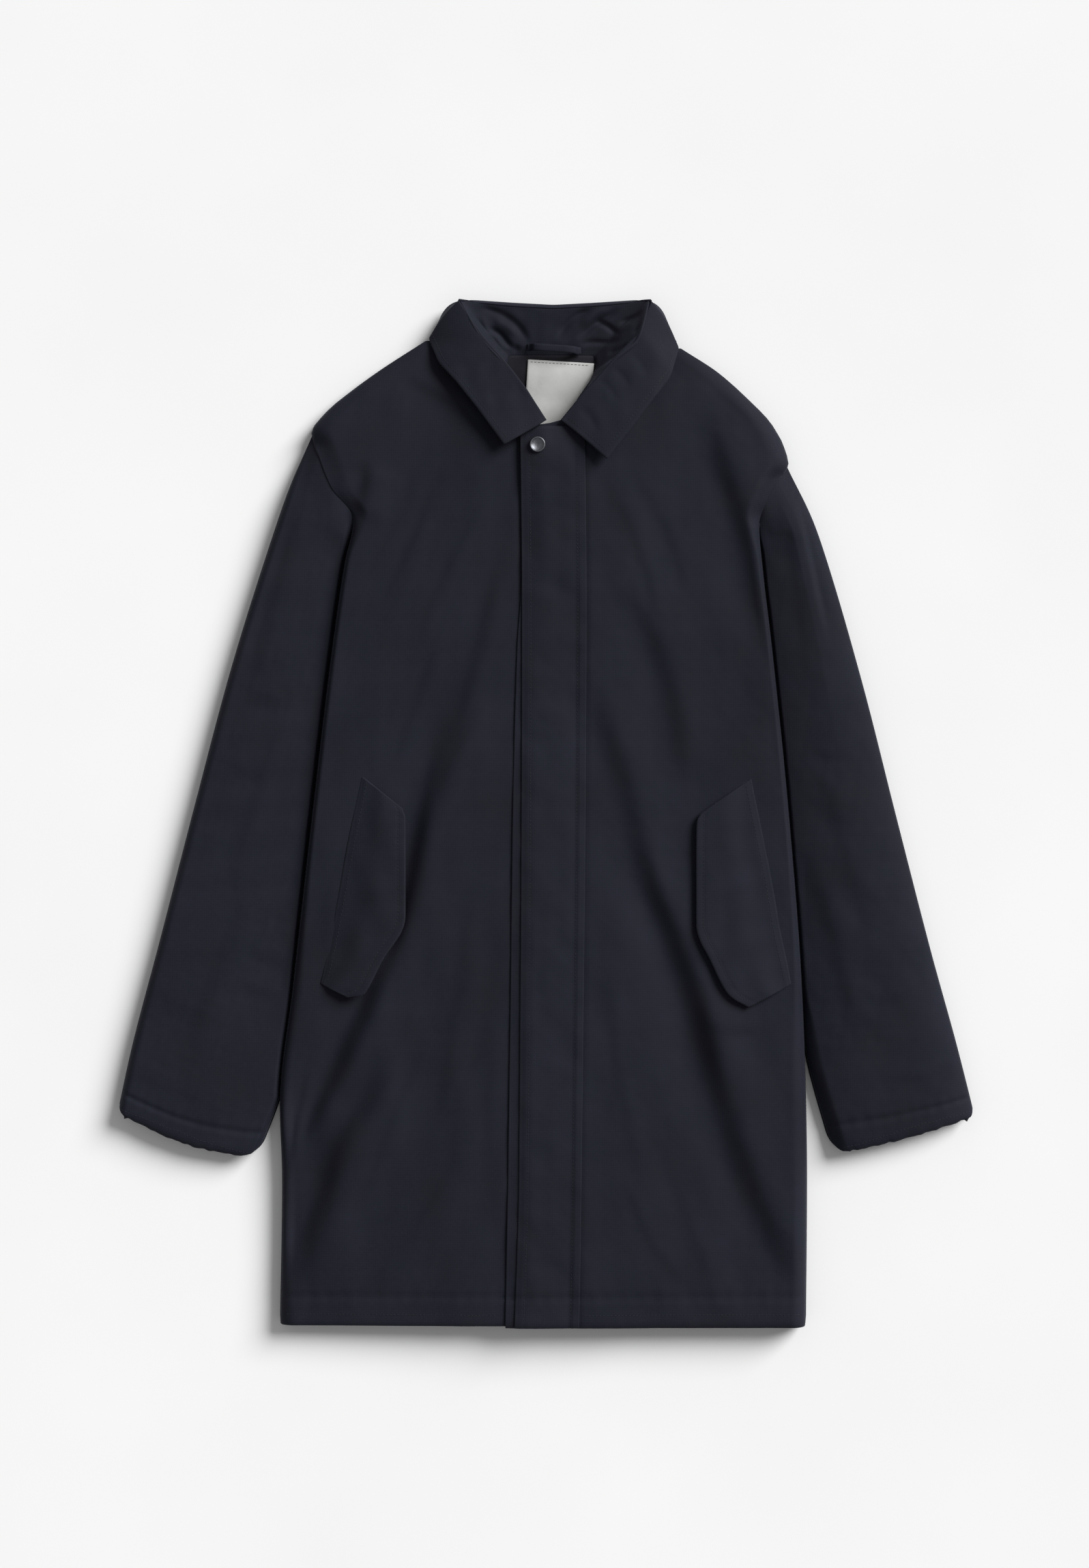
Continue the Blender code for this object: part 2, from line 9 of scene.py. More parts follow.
import bmesh
import bpy
import numpy as np
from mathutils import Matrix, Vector


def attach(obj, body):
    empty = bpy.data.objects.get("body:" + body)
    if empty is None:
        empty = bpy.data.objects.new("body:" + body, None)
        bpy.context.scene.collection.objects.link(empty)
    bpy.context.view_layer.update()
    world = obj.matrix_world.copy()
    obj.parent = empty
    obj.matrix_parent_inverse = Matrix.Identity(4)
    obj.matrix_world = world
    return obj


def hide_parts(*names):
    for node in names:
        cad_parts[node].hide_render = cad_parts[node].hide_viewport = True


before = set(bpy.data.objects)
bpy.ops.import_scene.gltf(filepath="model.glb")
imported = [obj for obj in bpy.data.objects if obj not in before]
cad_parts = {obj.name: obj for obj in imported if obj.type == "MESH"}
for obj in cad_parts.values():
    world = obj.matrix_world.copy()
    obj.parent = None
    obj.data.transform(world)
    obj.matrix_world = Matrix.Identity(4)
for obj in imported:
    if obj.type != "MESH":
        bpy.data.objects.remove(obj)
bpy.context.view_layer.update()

MM = 0.001
# The way out from the middle of the coat in X.
OUT = {"right": -1, "left": 1}
WALL = 3.0
TRIM_WALL = 2.5
PLACKET_WALL = 1.7
FACING_WALL = 1.5
LABEL_WALL = 0.8
LOOP_WALL = 1.2
SEAM_GAP = 0.3
# How far the rounded rim of a sheet stands out past its edge, as a share of its wall.
RIM_REACH = 0.3
RIM_ANGLES = (45, 90, 135)
# How much closer together the points of a panel lie near its sides.
PANEL_PULL = 0.7
FLAT_PULL = 0.5

# How far in from its sides the back rolls up.
BACK_ROLL = 60.0
# Y of the top and the foot of each armhole, where the fronts roll more gently.
ARMHOLE = {"right": (352.0, 272.0), "left": (322.0, 266.0)}
ARMHOLE_LEAD = 4.0
ARMHOLE_FADE = (16.0, 14.0)
ARMHOLE_ROUND = 0.4
# How far from a front's side its creases reach their full height.
CREASE_INSET = 13.0
# How far the right front falls towards its lower corner, where this starts in X and Y, and over what way.
CORNER_FALL = 5.0
CORNER_FROM = (-60.0, -120.0)
CORNER_FADE = (190.0, 160.0)
# The fronts' shape at the closing fades out up to this Y, under the collar.
COLLAR_Y = 430.0
COLLAR_FADE = 60.0
# The middle line of the coat.
MIDDLE_X = 6.0
# Both fronts lie higher near the closing, where they are two or three layers thick.
CLOSING_LIFT = 2.5
CLOSING_HALF = 42.0
CLOSING_FADE = 80.0
# The left front closes over the right one, which sinks below it. A sink has its start in X and its way.
OVERLAP_RISE = 1.5
OVERLAP_EDGE = 14.0
OVERLAP_FADE = 46.0
UNDERLAP_SINK = 2.0
UNDERLAP_FROM = (-85.0, 50.0)
UNDERLAP_HIDDEN_SINK = 1.2
UNDERLAP_HIDDEN_FROM = (-28.0, 12.0)
# The closing edge of the left front is pressed down and thins over this width, up to this Y.
EDGE_PRESS = 1.7
EDGE_WALL = 1.3
EDGE_WIDTH = 22.0
EDGE_TOP = 352.0
EDGE_TOP_FADE = 12.0
# How far the panels' upper corners dip at the neck.
NECK_DIP = {"right": 13.0, "left": 8.0}
# How far the back lifts off the floor at the neck.
NECK_LIFT = 3.7
NECK_LIFT_FROM = 376.0
NECK_LIFT_TO = 412.0
BACK_FOOT = -473.0
# The top of the back: Y at its right and left ends and in the middle, and the ways between them.
BACK_TOP = {"right": 437.0, "left": 430.0, "middle": 424.0}
BACK_TOP_WAY = 50.0
BACK_CORNER_WAY = 20.0
BACK_TOP_FROM = 400.0
BACK_TOP_FADE = 30.0

PLACKET_TOP = 356.0
# Walls of the placket at its free left side and its sewn right side, and how wide they are.
PLACKET_WALL_LEFT = 0.9
PLACKET_WALL_RIGHT = 0.5
PLACKET_SIDE_LEFT = 8.0
PLACKET_SIDE_RIGHT = 6.0
# The groove beside the placket's right side: its depth and place, and the step up out of it.
PLACKET_GROOVE = 3.1
GROOVE_INSET = 9.0
GROOVE_STEP = 1.0
GROOVE_STEP_WAY = 3.2
# The share of the groove that is left near the collar, and where and over what way it fades.
GROOVE_REMAINS = 0.35
GROOVE_FADE = (280.0, 120.0)
# How deep the left front is hollowed below the groove and below the placket's sewn side, and its borders.
HOLLOW_GROOVE = 3.2
HOLLOW_EDGE = 0.8
HOLLOW_PAST = 3.5
HOLLOW_FROM = (14.0, 20.0)
HOLLOW_TOP_FADE = 10.0
# The row of stitches on the placket lies in a shallow line.
PLACKET_LINE = 0.25
PLACKET_LINE_WIDTH = 1.6
# How far past its sides the placket still carries the collar.
PLACKET_REACH = 2.0

# The snap's cap: its place, its seat on the placket, its flat foot, its turned rim and its dish.
SNAP_X = -8.0
SNAP_Y = 339.0
SNAP_RADIUS = 7.25
SNAP_SEAT = 0.1
SNAP_FOOT = 0.4
SNAP_RIM = 0.9
SNAP_RIM_HEIGHT = 1.3
SNAP_RIM_ANGLES = (20, 45, 70, 90, 115, 140)
SNAP_DISH = 0.6
SNAP_DISH_RISE = 2.3
SNAP_DISH_SHARES = (0.74, 0.62, 0.48, 0.32, 0.16, 0.0)
SNAP_STEPS = 64
# The placket is stiffened round the snap and rises there.
SNAP_RISE = 2.1
SNAP_RISE_WIDTH = 26.0

# The facing at the back of the neck: its lower and upper ends, half widths there, and where it narrows.
FACING_Y = (320.0, 423.5)
FACING_HALF = (62.0, 45.0)
FACING_TAPER = (340.0, 80.0)
FACING_GAP = 0.3
LABEL_CENTRE = (11.5, 382.0)
LABEL_WIDTH = 61.0
LABEL_LENGTH = 72.0
LABEL_TURN = -3.5
LABEL_GAP = 0.9
LABEL_WAVE = 0.25
LOOP_FROM = (-17.0, 431.0)
LOOP_TO = (32.0, 427.5)
LOOP_WIDTH = 6.5
LOOP_ARCH = 7.0
LOOP_BASE = 11.3
# How far from the loop's ends its arch is full and its foot flat, as shares, and how its sides droop.
LOOP_SHOULDER = 0.3
LOOP_FOOT = 0.12
LOOP_DROOP = 0.5

# A hem or cuff has a sewn line at its depth, gathers of some length and reach beside it, and a turned edge.
HEM_EDGE = -474.0
HEM_DEPTH = 27.0
HEM_LINE = 1.0
HEM_LINE_WIDTH = 2.4
HEM_GATHER = 0.15
HEM_PUCKER = (15, 9)
HEM_TURN = 1.5
HEM_TURN_WIDTH = 6.0
CUFF_DEPTH = 19.0
CUFF_LINE = 1.0
CUFF_LINE_WIDTH = 2.6
CUFF_GATHER = 0.12
CUFF_PUCKER = (13, 8)
CUFF_TURN = 3.0
CUFF_TURN_WIDTH = 8.0
CUFF_TURN_SIDE = 20.0
CUFF_UNEVEN = 25.0
CUFF_BOW = {"right": 9.0, "left": 3.0}
# Radii of the rounded cuff corners, at the outer and the inner side of a sleeve.
CUFF_CORNER = (8.0, 15.0)

# How far a sleeve goes in under the edge of the armhole, and how far below that edge it lies.
SEAM_TUCK = {"right": 1.3, "left": 1.6}
SEAM_DROP = {"right": 0.7, "left": 1.2}
UNDER_SEAM_RISE = 0.7
SLEEVE_ROLL = {"right": 8.0, "left": 42.0}
# How much closer together a sleeve's lines lie near its cuff.
SLEEVE_PULL = 0.6
# Creases fade out at a sleeve's sides, head and inner face.
SLEEVE_SIDE_FADE = 16.0
SLEEVE_HEAD_FADE = 30.0
SLEEVE_FACE_FADE = 10.0
# The under panel rolls up to the outer seam, less its wall and play, and a little at the inner side.
UNDER_ROLL = 40.0
UNDER_SINK = 5.1
UNDER_INNER_FROM = 7.0
UNDER_INNER_GAIN = 1.3
# How far beside the body's edge a sleeve starts to rise.
BODY_GAP = 1.0
# How the line of the body's side goes on above the foot of the armhole, in X for each step of Y.
SIDE_LEAN = 0.22
# How round the foot and the top of a sleeve's inner face are.
FACE_FOOT = 0.4
FACE_TOP = 0.45

# How far the free edge of the leaf stands off the fronts, at its right tip, the shoulders and the left tip.
LEAF_STAND_OFF = (5.0, 1.5, 6.0)
LEAF_STAND_OFF_BEND = 1.5
LEAF_CLEARANCE = 1.2
# The leaf lies over the fronts where its edge is above this height and it is below this Y, with the ways.
LEAF_OVER_Z = (8.0, 5.0)
LEAF_OVER_Y = (440.0, 20.0)
LEAF_BLURS = 12
LEAF_SIDE_FADE = 0.15
# Radius of the collar's roll by row of the leaf, and how far round it the leaf goes in degrees.
ROLL_RADIUS_ROWS = (0, 3, 5, 11, 13, 16)
ROLL_RADIUS = (1.3, 1.3, 0.9, 0.9, 1.3, 1.3)
ROLL_TURN = 140.0
ROLL_COLUMNS = 7
# The leaf is thinner where it rolls over, and thickens over some columns.
ROLL_WALL = 0.9
ROLL_WALL_COLUMNS = 6
# How far up the stand goes, as a share of its height to the inside of the roll, so its top is tucked in.
STAND_TUCK = 1.04
# It is tucked in further at the collar's two back corners, given as rows of the stand.
STAND_CORNER_TUCK = 0.08
STAND_CORNERS = (4.0, 10.0)
STAND_CORNER_WIDTH = 0.8
# How far the foot of the stand goes on down, below the face of the lining, as the same share.
STAND_SINK = 0.05
STAND_SINK_DROP = 1.8
STAND_FOOT = 0.25
STAND_FOOT_DROP = 1.1
# How far the stand lies hollow on the right, from 0 for a straight slope to 1, and the row where that ends.
STAND_HOLLOW = 0.45
STAND_HOLLOW_BEND = 2.5
STAND_HOLLOW_END = (3.5, 2.5)
STAND_SIDE_FADE = (0.2, 0.12)

# A flap's play above its front, how soon it reaches it, and how far its free edge lifts besides.
FLAP_CLEARANCE = 0.9
FLAP_PUFF = 0.7
FLAP_PUFF_WAY = 0.5
FLAP_LIFT = {"right": 0.0, "left": 0.6}
FLAP_END = 0.5
# The height of its sewn edge, how it rises from there, and how it spans the creases below it.
FLAP_SEWN = 0.35
FLAP_RISE_WAYS = (0.1, 0.6)
FLAP_RISE_MIX = 0.75
FLAP_SPAN = 0.6
FLAP_BLURS = 60
# The row of stitches along its free edge lies in a shallow line, with gathers beside it.
FLAP_LINE_INSET = 7.0
FLAP_LINE = 0.22
FLAP_LINE_WIDTH = 1.6
FLAP_GATHER = 0.1
FLAP_PUCKER = (12, 4)
FLAP_GATHER_FROM = 0.2

STITCH_PITCH = 3.4
STITCH_LENGTH = 2.5
STITCH_RADIUS = 0.2
STITCH_SIDES = 6
# The rings of a stitch: place along it in half lengths, then girth and lift in radii.
STITCH_RINGS = ((-1.0, 0.3, -0.7), (-0.72, 0.95, 0.1), (0.0, 1.05, 0.35), (0.72, 0.95, 0.1), (1.0, 0.3, -0.7))
# How far in from an edge the rows of stitches run.
PLACKET_STITCH = 8.0
PLACKET_STITCH_Y = (-468.0, 350.0)
HEM_STITCH = 11.0
HEM_STITCH_X = {"right": (-240.0, -44.0), "left": (34.0, 234.0)}
CUFF_STITCH = 10.0
LEAF_STITCH = 5.0
FLAP_SEAM_STITCH = 6.0
LABEL_STITCH = 2.0

# What the warmer and the cooler patches of the dye are multiplied by.
WARM_TINT = (1.02, 0.985, 0.99)
COOL_TINT = (0.955, 1.0, 1.015)

# The studio, in metres, degrees and the renderer's own units of light.
FLOOR_SIZE = 8.0
FLOOR_LEVEL = -0.0004
WORLD_STRENGTH = 0.300
SUN_ENERGY = 4.30
SUN_SIZE = 32
SUN_AZIMUTH = 38
SUN_HEIGHT = 32
CAMERA_AT = (-0.0016, 0.0265, 3.0)
# How much the picture's height shows, at the level of the coat's face.
FACE_LEVEL = 0.02
VIEW_HEIGHT = 1.44837

# Waves in a ripple, how far their ways fan out, their lengths, and the patches that they come and go in.
RIPPLE_WAVES = 12
RIPPLE_FAN = 0.4
RIPPLE_LENGTHS = (0.7, 1.9)
RIPPLE_PHASE = 6.28
RIPPLE_CREST = 3.5
RIPPLE_PATCH = (2.3, 2.9)
RIPPLE_PATCH_SHARE = 0.35
# Lean is the way across the waves in degrees, or None for every way.
Ripple = namedtuple("Ripple", "height seed length lean")
FRONT_RIPPLES = {
    "right": (Ripple(0.45, 12, 44, 165), Ripple(0.10, 14, 13, None)),
    "left": (Ripple(0.45, 11, 44, 15), Ripple(0.10, 13, 13, None)),
}
SLEEVE_RIPPLES = {
    "right": (Ripple(0.4, 20, 40, 110), Ripple(0.1, 24, 12, None)),
    "left": (Ripple(0.4, 22, 40, 70), Ripple(0.1, 26, 12, None)),
}
CUFF_RIPPLE = {"right": Ripple(0.7, 26, 9, None), "left": Ripple(0.7, 28, 9, None)}
PLACKET_RIPPLE = Ripple(0.3, 17, 24, None)
LEAF_RIPPLE = Ripple(0.3, 31, 22, None)
STAND_RIPPLE = Ripple(0.35, 41, 18, None)
FLAP_RIPPLE = Ripple(0.35, 51, 26, None)
FACING_RIPPLE = Ripple(0.15, 61, 20, None)
LABEL_RIPPLE = Ripple(1.0, 62, 30, None)


def table(row, *lines):
    """Give the numbers of each line the names of their columns."""
    return tuple(row(*line) for line in lines)


FrontRow = namedtuple("FrontRow", "y outer inner seam lift")
FRONT_RIGHT = table(
    FrontRow,
    (-473, -246, 12, 10.0, 4.9),
    (-340, -244, 12, 11.0, 5.9),
    (-270, -246, 12, 13.0, 7.9),
    (-160, -234, 12, 14.0, 8.9),
    (0, -216, 12, 14.0, 8.9),
    (150, -198, 12, 14.0, 8.9),
    (232, -186, 12, 13.9, 8.8),
    (272, -178, 12, 17.0, 3.4),
    (300, -198, 12, 22.5, 0.0),
    (330, -210, 12, 20.0, 0.0),
    (352, -217, -3, 11.0, 3.9),
    (372, -203, -16, 9.0, 3.9),
    (392, -179, -28, 9.0, 3.9),
    (410, -154, -38, 9.6, 3.4),
    (437, -112, -47, 10.2, 3.7),
)
FRONT_LEFT = table(
    FrontRow,
    (-475, 240, -37.5, 10.0, 4.9),
    (-340, 241, -35, 11.0, 5.9),
    (-270, 240, -34, 13.0, 7.9),
    (-160, 236, -32.5, 14.0, 8.9),
    (0, 224, -30.5, 14.0, 8.9),
    (150, 209, -26.5, 14.0, 8.9),
    (228, 200, -21.5, 13.9, 8.8),
    (266, 197, -21, 15.0, 3.4),
    (290, 204, -21, 20.0, 0.0),
    (306, 213, -21, 18.0, 0.0),
    (322, 224, -21, 11.0, 3.9),
    (345, 217.5, -21, 9.0, 3.9),
    (356, 211, -21, 9.0, 3.9),
    (361, 208, 14, 9.0, 3.9),
    (385, 185, 31, 9.0, 3.9),
    (408, 159, 46, 9.6, 3.4),
    (430, 125, 57, 10.2, 3.7),
)

RollRow = namedtuple("RollRow", "y right left")
BODY_ROLL = table(
    RollRow,
    (-475, 28.0, 14.0),
    (-270, 26.0, 14.0),
    (-130, 8.0, 7.0),
    (0, 5.0, 5.0),
    (232, 5.0, 5.0),
    (280, 16.0, 16.0),
    (320, 20.0, 20.0),
    (437, 20.0, 20.0),
)

CrownRow = namedtuple("CrownRow", "y height")
CROWN = table(
    CrownRow,
    (-475, 26.0),
    (-300, 26.0),
    (0, 27.0),
    (180, 27.0),
    (272, 26.0),
    (340, 24.0),
    (385, 20.0),
    (410, 16.0),
    (437, 11.8),
)

PlacketRow = namedtuple("PlacketRow", "y left right")
PLACKET = table(
    PlacketRow,
    (-475, -29.0, 30.3),
    (-340, -25.0, 32.5),
    (200, -22.2, 37.0),
    (356, -23.8, 35.5),
)

SleeveRow = namedtuple("SleeveRow", "along outer_x outer_y inner_x inner_y seam inner face ledge crown ease")
SLEEVE_RIGHT = table(
    SleeveRow,
    (0, -216.5, 352, -178, 272, 10.5, 10.0, 8, 17, 22, 40),
    (45, -235, 308, -179, 252, 10.5, 9.0, 6, 18, 21, 70),
    (100, -252, 259, -180, 229, 10.5, 8.4, 4, 15.5, 20, 80),
    (235, -291.5, 133, -191.5, 95, 10.5, 8.0, 3, 16, 19.5, 90),
    (365, -325, 7, -208.5, -30.5, 10.5, 8.0, 3, 16.5, 19.5, 90),
    (495, -357.5, -119, -227.5, -157, 10.5, 8.0, 3, 16.5, 19.5, 90),
    (600, -384, -220, -243.5, -251, 10.0, 7.5, 4, 16.5, 20, 80),
    (660, -396.5, -277, -268, -319, 9.0, 7.0, 6, 16, 20, 60),
)
SLEEVE_LEFT = table(
    SleeveRow,
    (0, 224, 322, 197, 266, 10.0, 10.0, 6, 15, 22, 44),
    (40, 240.5, 286, 194.5, 245, 10.5, 8.6, 2, 14, 22, 48),
    (85, 254, 250, 194, 224, 11.0, 8.6, 2, 14, 21.5, 52),
    (220, 292, 121, 203, 83, 11.0, 8.4, 2, 13.5, 21.5, 54),
    (350, 324, -5, 217, -43, 11.0, 8.4, 2, 12.8, 21.5, 54),
    (480, 356.5, -131, 231.5, -157, 10.5, 8.0, 3, 12.8, 21.5, 54),
    (570, 380, -216, 241.5, -226, 10.0, 7.2, 12, 15, 21.5, 50),
    (640, 396.5, -281, 266, -316, 9.0, 7.0, 13, 16, 21, 44),
)

LeafRow = namedtuple("LeafRow", "roll bend edge")
LEAF = table(
    LeafRow,
    ((0, 360, 32.5), (-14, 352, 33.5), (-37.5, 338, 32)),
    ((-20, 391, 33), (-36, 384, 33.5), (-62.5, 372, 32)),
    ((-37.5, 414, 32.5), (-52, 408, 32.5), (-82, 397, 28.5)),
    ((-60, 440, 30), (-74, 434, 30.5), (-99, 416, 22)),
    ((-82, 473, 21), (-97, 456.5, 20), (-109, 440, 13.0)),
    ((-76, 473.5, 17), (-99, 475.5, 6), (-101, 445, 5)),
    ((-64, 472.5, 15), (-76, 485.5, -1.8), (-86, 437, 0)),
    ((-30, 469.5, 15), (-31, 485.5, -1.8), (-42, 421, 0)),
    ((7, 467.5, 15), (7, 483.5, -1.8), (7, 419, 0)),
    ((44, 469.5, 15), (45, 485.5, -1.8), (54, 421, 0)),
    ((79, 472.5, 15), (91, 485.5, -1.8), (100, 435, 0)),
    ((91, 473.5, 17), (113, 474.5, 6), (114, 440, 5)),
    ((98, 472.5, 21), (112, 455.5, 20), (123, 431, 13.5)),
    ((85, 440, 30), (98, 432, 30.5), (115, 404, 24.5)),
    ((63, 418, 32.5), (77, 408, 33), (100, 384, 29.5)),
    ((37, 389, 32.5), (54, 378, 34), (78, 355, 32.5)),
    ((13.5, 360, 32), (30, 348, 34.5), (54.5, 325, 33)),
)

StandRow = namedtuple("StandRow", "base top")
STAND = table(
    StandRow,
    ((-18, 373, 25.5), (-9.0, 374, 28.6)),
    ((-29, 391, 23.5), (-20.0, 391.5, 29.6)),
    ((-36.5, 408.5, 18.0), (-38.5, 414.5, 31.0)),
    ((-38, 415.8, 14.8), (-59.5, 438.5, 28.8)),
    ((-36, 423.4, 11.4), (-74, 467.5, 18.6)),
    ((-30, 423.6, 10.0), (-56, 468.9, 14.6)),
    ((-12, 423.6, 9.8), (-25, 466.3, 14.6)),
    ((7, 423.6, 9.8), (7, 464.4, 14.6)),
    ((26, 423.6, 9.8), (39, 466.3, 14.6)),
    ((42, 423.6, 10.0), (71, 468.9, 14.6)),
    ((46, 423, 11.6), (89, 467.5, 19.0)),
    ((47.5, 414, 16.0), (83.5, 438, 30.6)),
    ((43, 404, 18.8), (62, 417, 32.8)),
    ((35, 388, 24.0), (37, 389, 31.8)),
    ((24, 373, 28.0), (24, 374, 30.8)),
)

FlapRow = namedtuple("FlapRow", "seam_x seam_y free_x free_y puff")
FLAP_RIGHT = table(
    FlapRow,
    (-169.8, 33.1, -132.6, 4.0, 1.2),
    (-172.5, 20.0, -130.1, -6.0, 2.0),
    (-181.0, -20.0, -130.1, -40.0, 2.6),
    (-189.0, -64.0, -130.1, -95.0, 2.6),
    (-199.0, -118.0, -151.0, -135.0, 2.4),
    (-205.5, -148.0, -170.5, -168.0, 2.0),
    (-207.6, -157.2, -183.0, -169.8, 1.2),
)
FLAP_LEFT = table(
    FlapRow,
    (188.7, 30.6, 142.0, -1.0, 1.0),
    (191.0, 18.0, 138.9, -9.0, 1.3),
    (199.0, -20.0, 138.3, -45.0, 1.5),
    (207.0, -60.0, 138.3, -101.7, 1.5),
    (216.0, -112.0, 152.0, -137.0, 1.5),
    (222.0, -140.0, 169.0, -168.0, 1.3),
    (225.2, -158.0, 186.0, -178.5, 1.0),
)

# A crease is a trough where depth is negative, else a ridge. Left and right are its widths on either side
# of its path, as one goes along it.
Crease = namedtuple("Crease", "depth left right path")
# A fold is a slanting wall along its path, which rises to the left of it by slope, with a trough at its foot.
Fold = namedtuple("Fold", "slope left right path")
# How many times its width a fold's sides spread.
FOLD_SPREAD = 2.2
# The share of its path over which a crease fades in and out, how many widths it reaches, and its steps.
CREASE_TAPER = 0.3
CREASE_REACH = 3.0
CREASE_STEPS = 6
# Places on either side that are averaged to round the corners of straight lines.
CORNER_SHIFTS = (-0.12, -0.06, 0.0, 0.06, 0.12)
FRONT_RIGHT_CREASES = (
    Fold(0.42, 18, 13, ((-78, 128), (-108, 20), (-121, -50), (-135, -112), (-160, -168))),
    Fold(0.46, 11, 9, ((-106, 30), (-121, -50), (-135, -112), (-160, -166))),
    Fold(0.85, 15, 14, ((-138, -122), (-160, -170), (-174, -200), (-195, -246), (-214, -284), (-233, -332))),
    Fold(0.70, 20, 18, ((-136, -218), (-161, -264), (-189, -306), (-203, -351), (-222, -401), (-237, -454))),
    Fold(0.40, 6, 6, ((-218, -230), (-230, -285), (-239, -340))),
    Fold(0.45, 9, 8, ((-162, 326), (-166, 306), (-170, 290), (-176, 266))),
    Fold(0.24, 14, 12, ((-30, 276), (-51, 200), (-68, 131), (-85, 63), (-100, -10))),
    Fold(0.18, 8, 8, ((-76, 336), (-102, 298), (-124, 247), (-156, 180))),
    Fold(0.16, 7, 7, ((-48, 306), (-84, 240), (-124, 150))),
    Fold(0.14, 7, 7, ((-110, 330), (-136, 270), (-166, 216))),
    Fold(0.14, 7, 7, ((-92, 180), (-120, 100), (-150, 20))),
    Fold(0.26, 9, 8, ((-140, 407), (-81, 376), (-50, 354))),
    Fold(0.12, 9, 9, ((-51, 121), (-90, 40), (-120, -10))),
    Fold(0.12, 10, 10, ((-64, -40), (-84, -190), (-112, -330))),
    Fold(0.14, 9, 9, ((-72, -300), (-120, -380), (-170, -440))),
    Fold(0.10, 9, 9, ((-44, -100), (-54, -230), (-50, -380))),
    Fold(0.14, 9, 9, ((-100, -180), (-140, -280), (-180, -380))),
    Fold(-0.14, 6, 6, ((-214, 352), (-190, 372), (-150, 398))),
)
FRONT_LEFT_CREASES = (
    Fold(0.30, 15, 20, ((38, 150), (55, 80), (68, 41), (75, 14), (93, -52), (117, -114), (139, -175))),
    Fold(0.40, 13, 17, ((78, -6), (97, -66), (117, -114), (139, -175), (156, -240), (172, -296))),
    Fold(0.39, 18, 21, (
        (112, -104), (139, -175), (156, -246), (180, -318), (202, -376), (226, -432), (238, -470),
    )),
    Fold(0.26, 13, 18, ((70, 216), (94, 172), (110, 128), (122, 74), (126, 12))),
    Fold(0.46, 15, 17, ((148, 384), (162, 322), (173, 288), (184, 255), (194, 217), (206, 130))),
    Fold(-0.55, 4, 4, ((212, 330), (203, 306), (198, 280), (201, 240), (206, 196))),
    Fold(0.14, 8, 8, ((140, -194), (170, -201), (202, -201))),
    Fold(0.14, 8, 8, ((56, 308), (86, 240), (106, 170))),
    Fold(0.12, 8, 8, ((72, 330), (110, 262), (132, 190))),
    Crease(1.6, 24, 24, ((62, -40), (84, -140), (112, -236))),
    Fold(0.12, 10, 10, ((50, -110), (66, -240), (94, -380))),
    Fold(0.14, 8, 8, ((68, -326), (98, -400), (144, -450))),
    Fold(0.12, 9, 9, ((100, -290), (124, -360), (152, -440))),
)
SLEEVE_RIGHT_CREASES = (
    Fold(0.08, 9, 9, ((-300, 128), (-274, 112), (-240, 96))),
    Fold(0.06, 9, 9, ((-320, 62), (-290, 44), (-250, 26))),
    Fold(0.16, 12, 12, ((-222, 310), (-240, 240), (-262, 160), (-280, 90))),
    Fold(0.12, 12, 12, ((-240, 120), (-268, 20), (-300, -90))),
    Fold(0.12, 12, 12, ((-270, -60), (-304, -150), (-336, -240))),
    Fold(0.15, 9, 9, ((-276, -130), (-256, -136), (-234, -139))),
    Fold(0.11, 9, 9, ((-284, -160), (-264, -167), (-240, -170))),
    Fold(0.06, 9, 9, ((-366, -160), (-330, -186), (-290, -196))),
    Fold(0.08, 9, 9, ((-384, -236), (-350, -256), (-310, -262))),
)
SLEEVE_LEFT_CREASES = (
    Fold(-0.45, 4, 5, ((222, 328), (228, 306), (234, 286), (239, 262), (247, 222), (262, 150))),
    Fold(0.10, 8, 8, ((214, 304), (222, 262), (234, 190), (244, 110))),
    Fold(0.22, 5, 5, ((204, 262), (216, 258), (228, 262))),
    Fold(0.14, 9, 9, ((240, 60), (268, 52), (298, 76))),
    Fold(0.12, 12, 12, ((246, 60), (276, -40), (306, -150))),
    Fold(0.16, 12, 12, ((236, -20), (262, -110), (290, -220))),
    Fold(0.12, 9, 9, ((282, -170), (318, -172), (352, -150))),
    Fold(0.12, 9, 9, ((300, -246), (340, -246), (378, -226))),
)
BACK_CREASES = (
    Crease(2.2, 14, 12, ((-60, 200), (-96, 60), (-150, -90))),
    Crease(2.6, 13, 13, ((70, 150), (104, 0), (150, -160), (180, -300))),
    Crease(2.0, 14, 14, ((-40, -60), (-84, -210), (-150, -380))),
    Crease(2.0, 10, 12, ((20, -120), (40, -260), (90, -400))),
    Crease(1.8, 12, 12, ((-130, 300), (-90, 240), (-20, 200))),
)
UNDER_RIGHT_CREASES = (
    Crease(1.8, 9, 9, ((-286, 110), (-262, 96), (-232, 100))),
    Crease(1.8, 10, 10, ((-330, -60), (-300, -80), (-264, -70))),
    Crease(1.6, 9, 9, ((-366, -196), (-330, -210), (-290, -200))),
)
UNDER_LEFT_CREASES = (
    Crease(1.8, 9, 9, ((288, 90), (262, 70), (236, 76))),
    Crease(1.8, 10, 10, ((332, -70), (304, -90), (268, -86))),
    Crease(1.6, 9, 9, ((370, -200), (336, -216), (296, -212))),
)
LEAF_CREASES = (
    Crease(-0.6, 3, 4, ((44, 402), (58, 391), (66, 376))),
    Crease(-0.5, 3, 3, ((58, 412), (70, 402), (78, 388))),
    Crease(-0.5, 4, 4, ((76, 424), (86, 414), (94, 400))),
    Crease(-0.7, 4, 4, ((28, 374), (40, 364), (48, 348))),
    Crease(-0.5, 5, 5, ((-30, 394), (-44, 386), (-56, 380))),
    Crease(-0.5, 5, 5, ((-56, 424), (-70, 412), (-84, 408))),
)
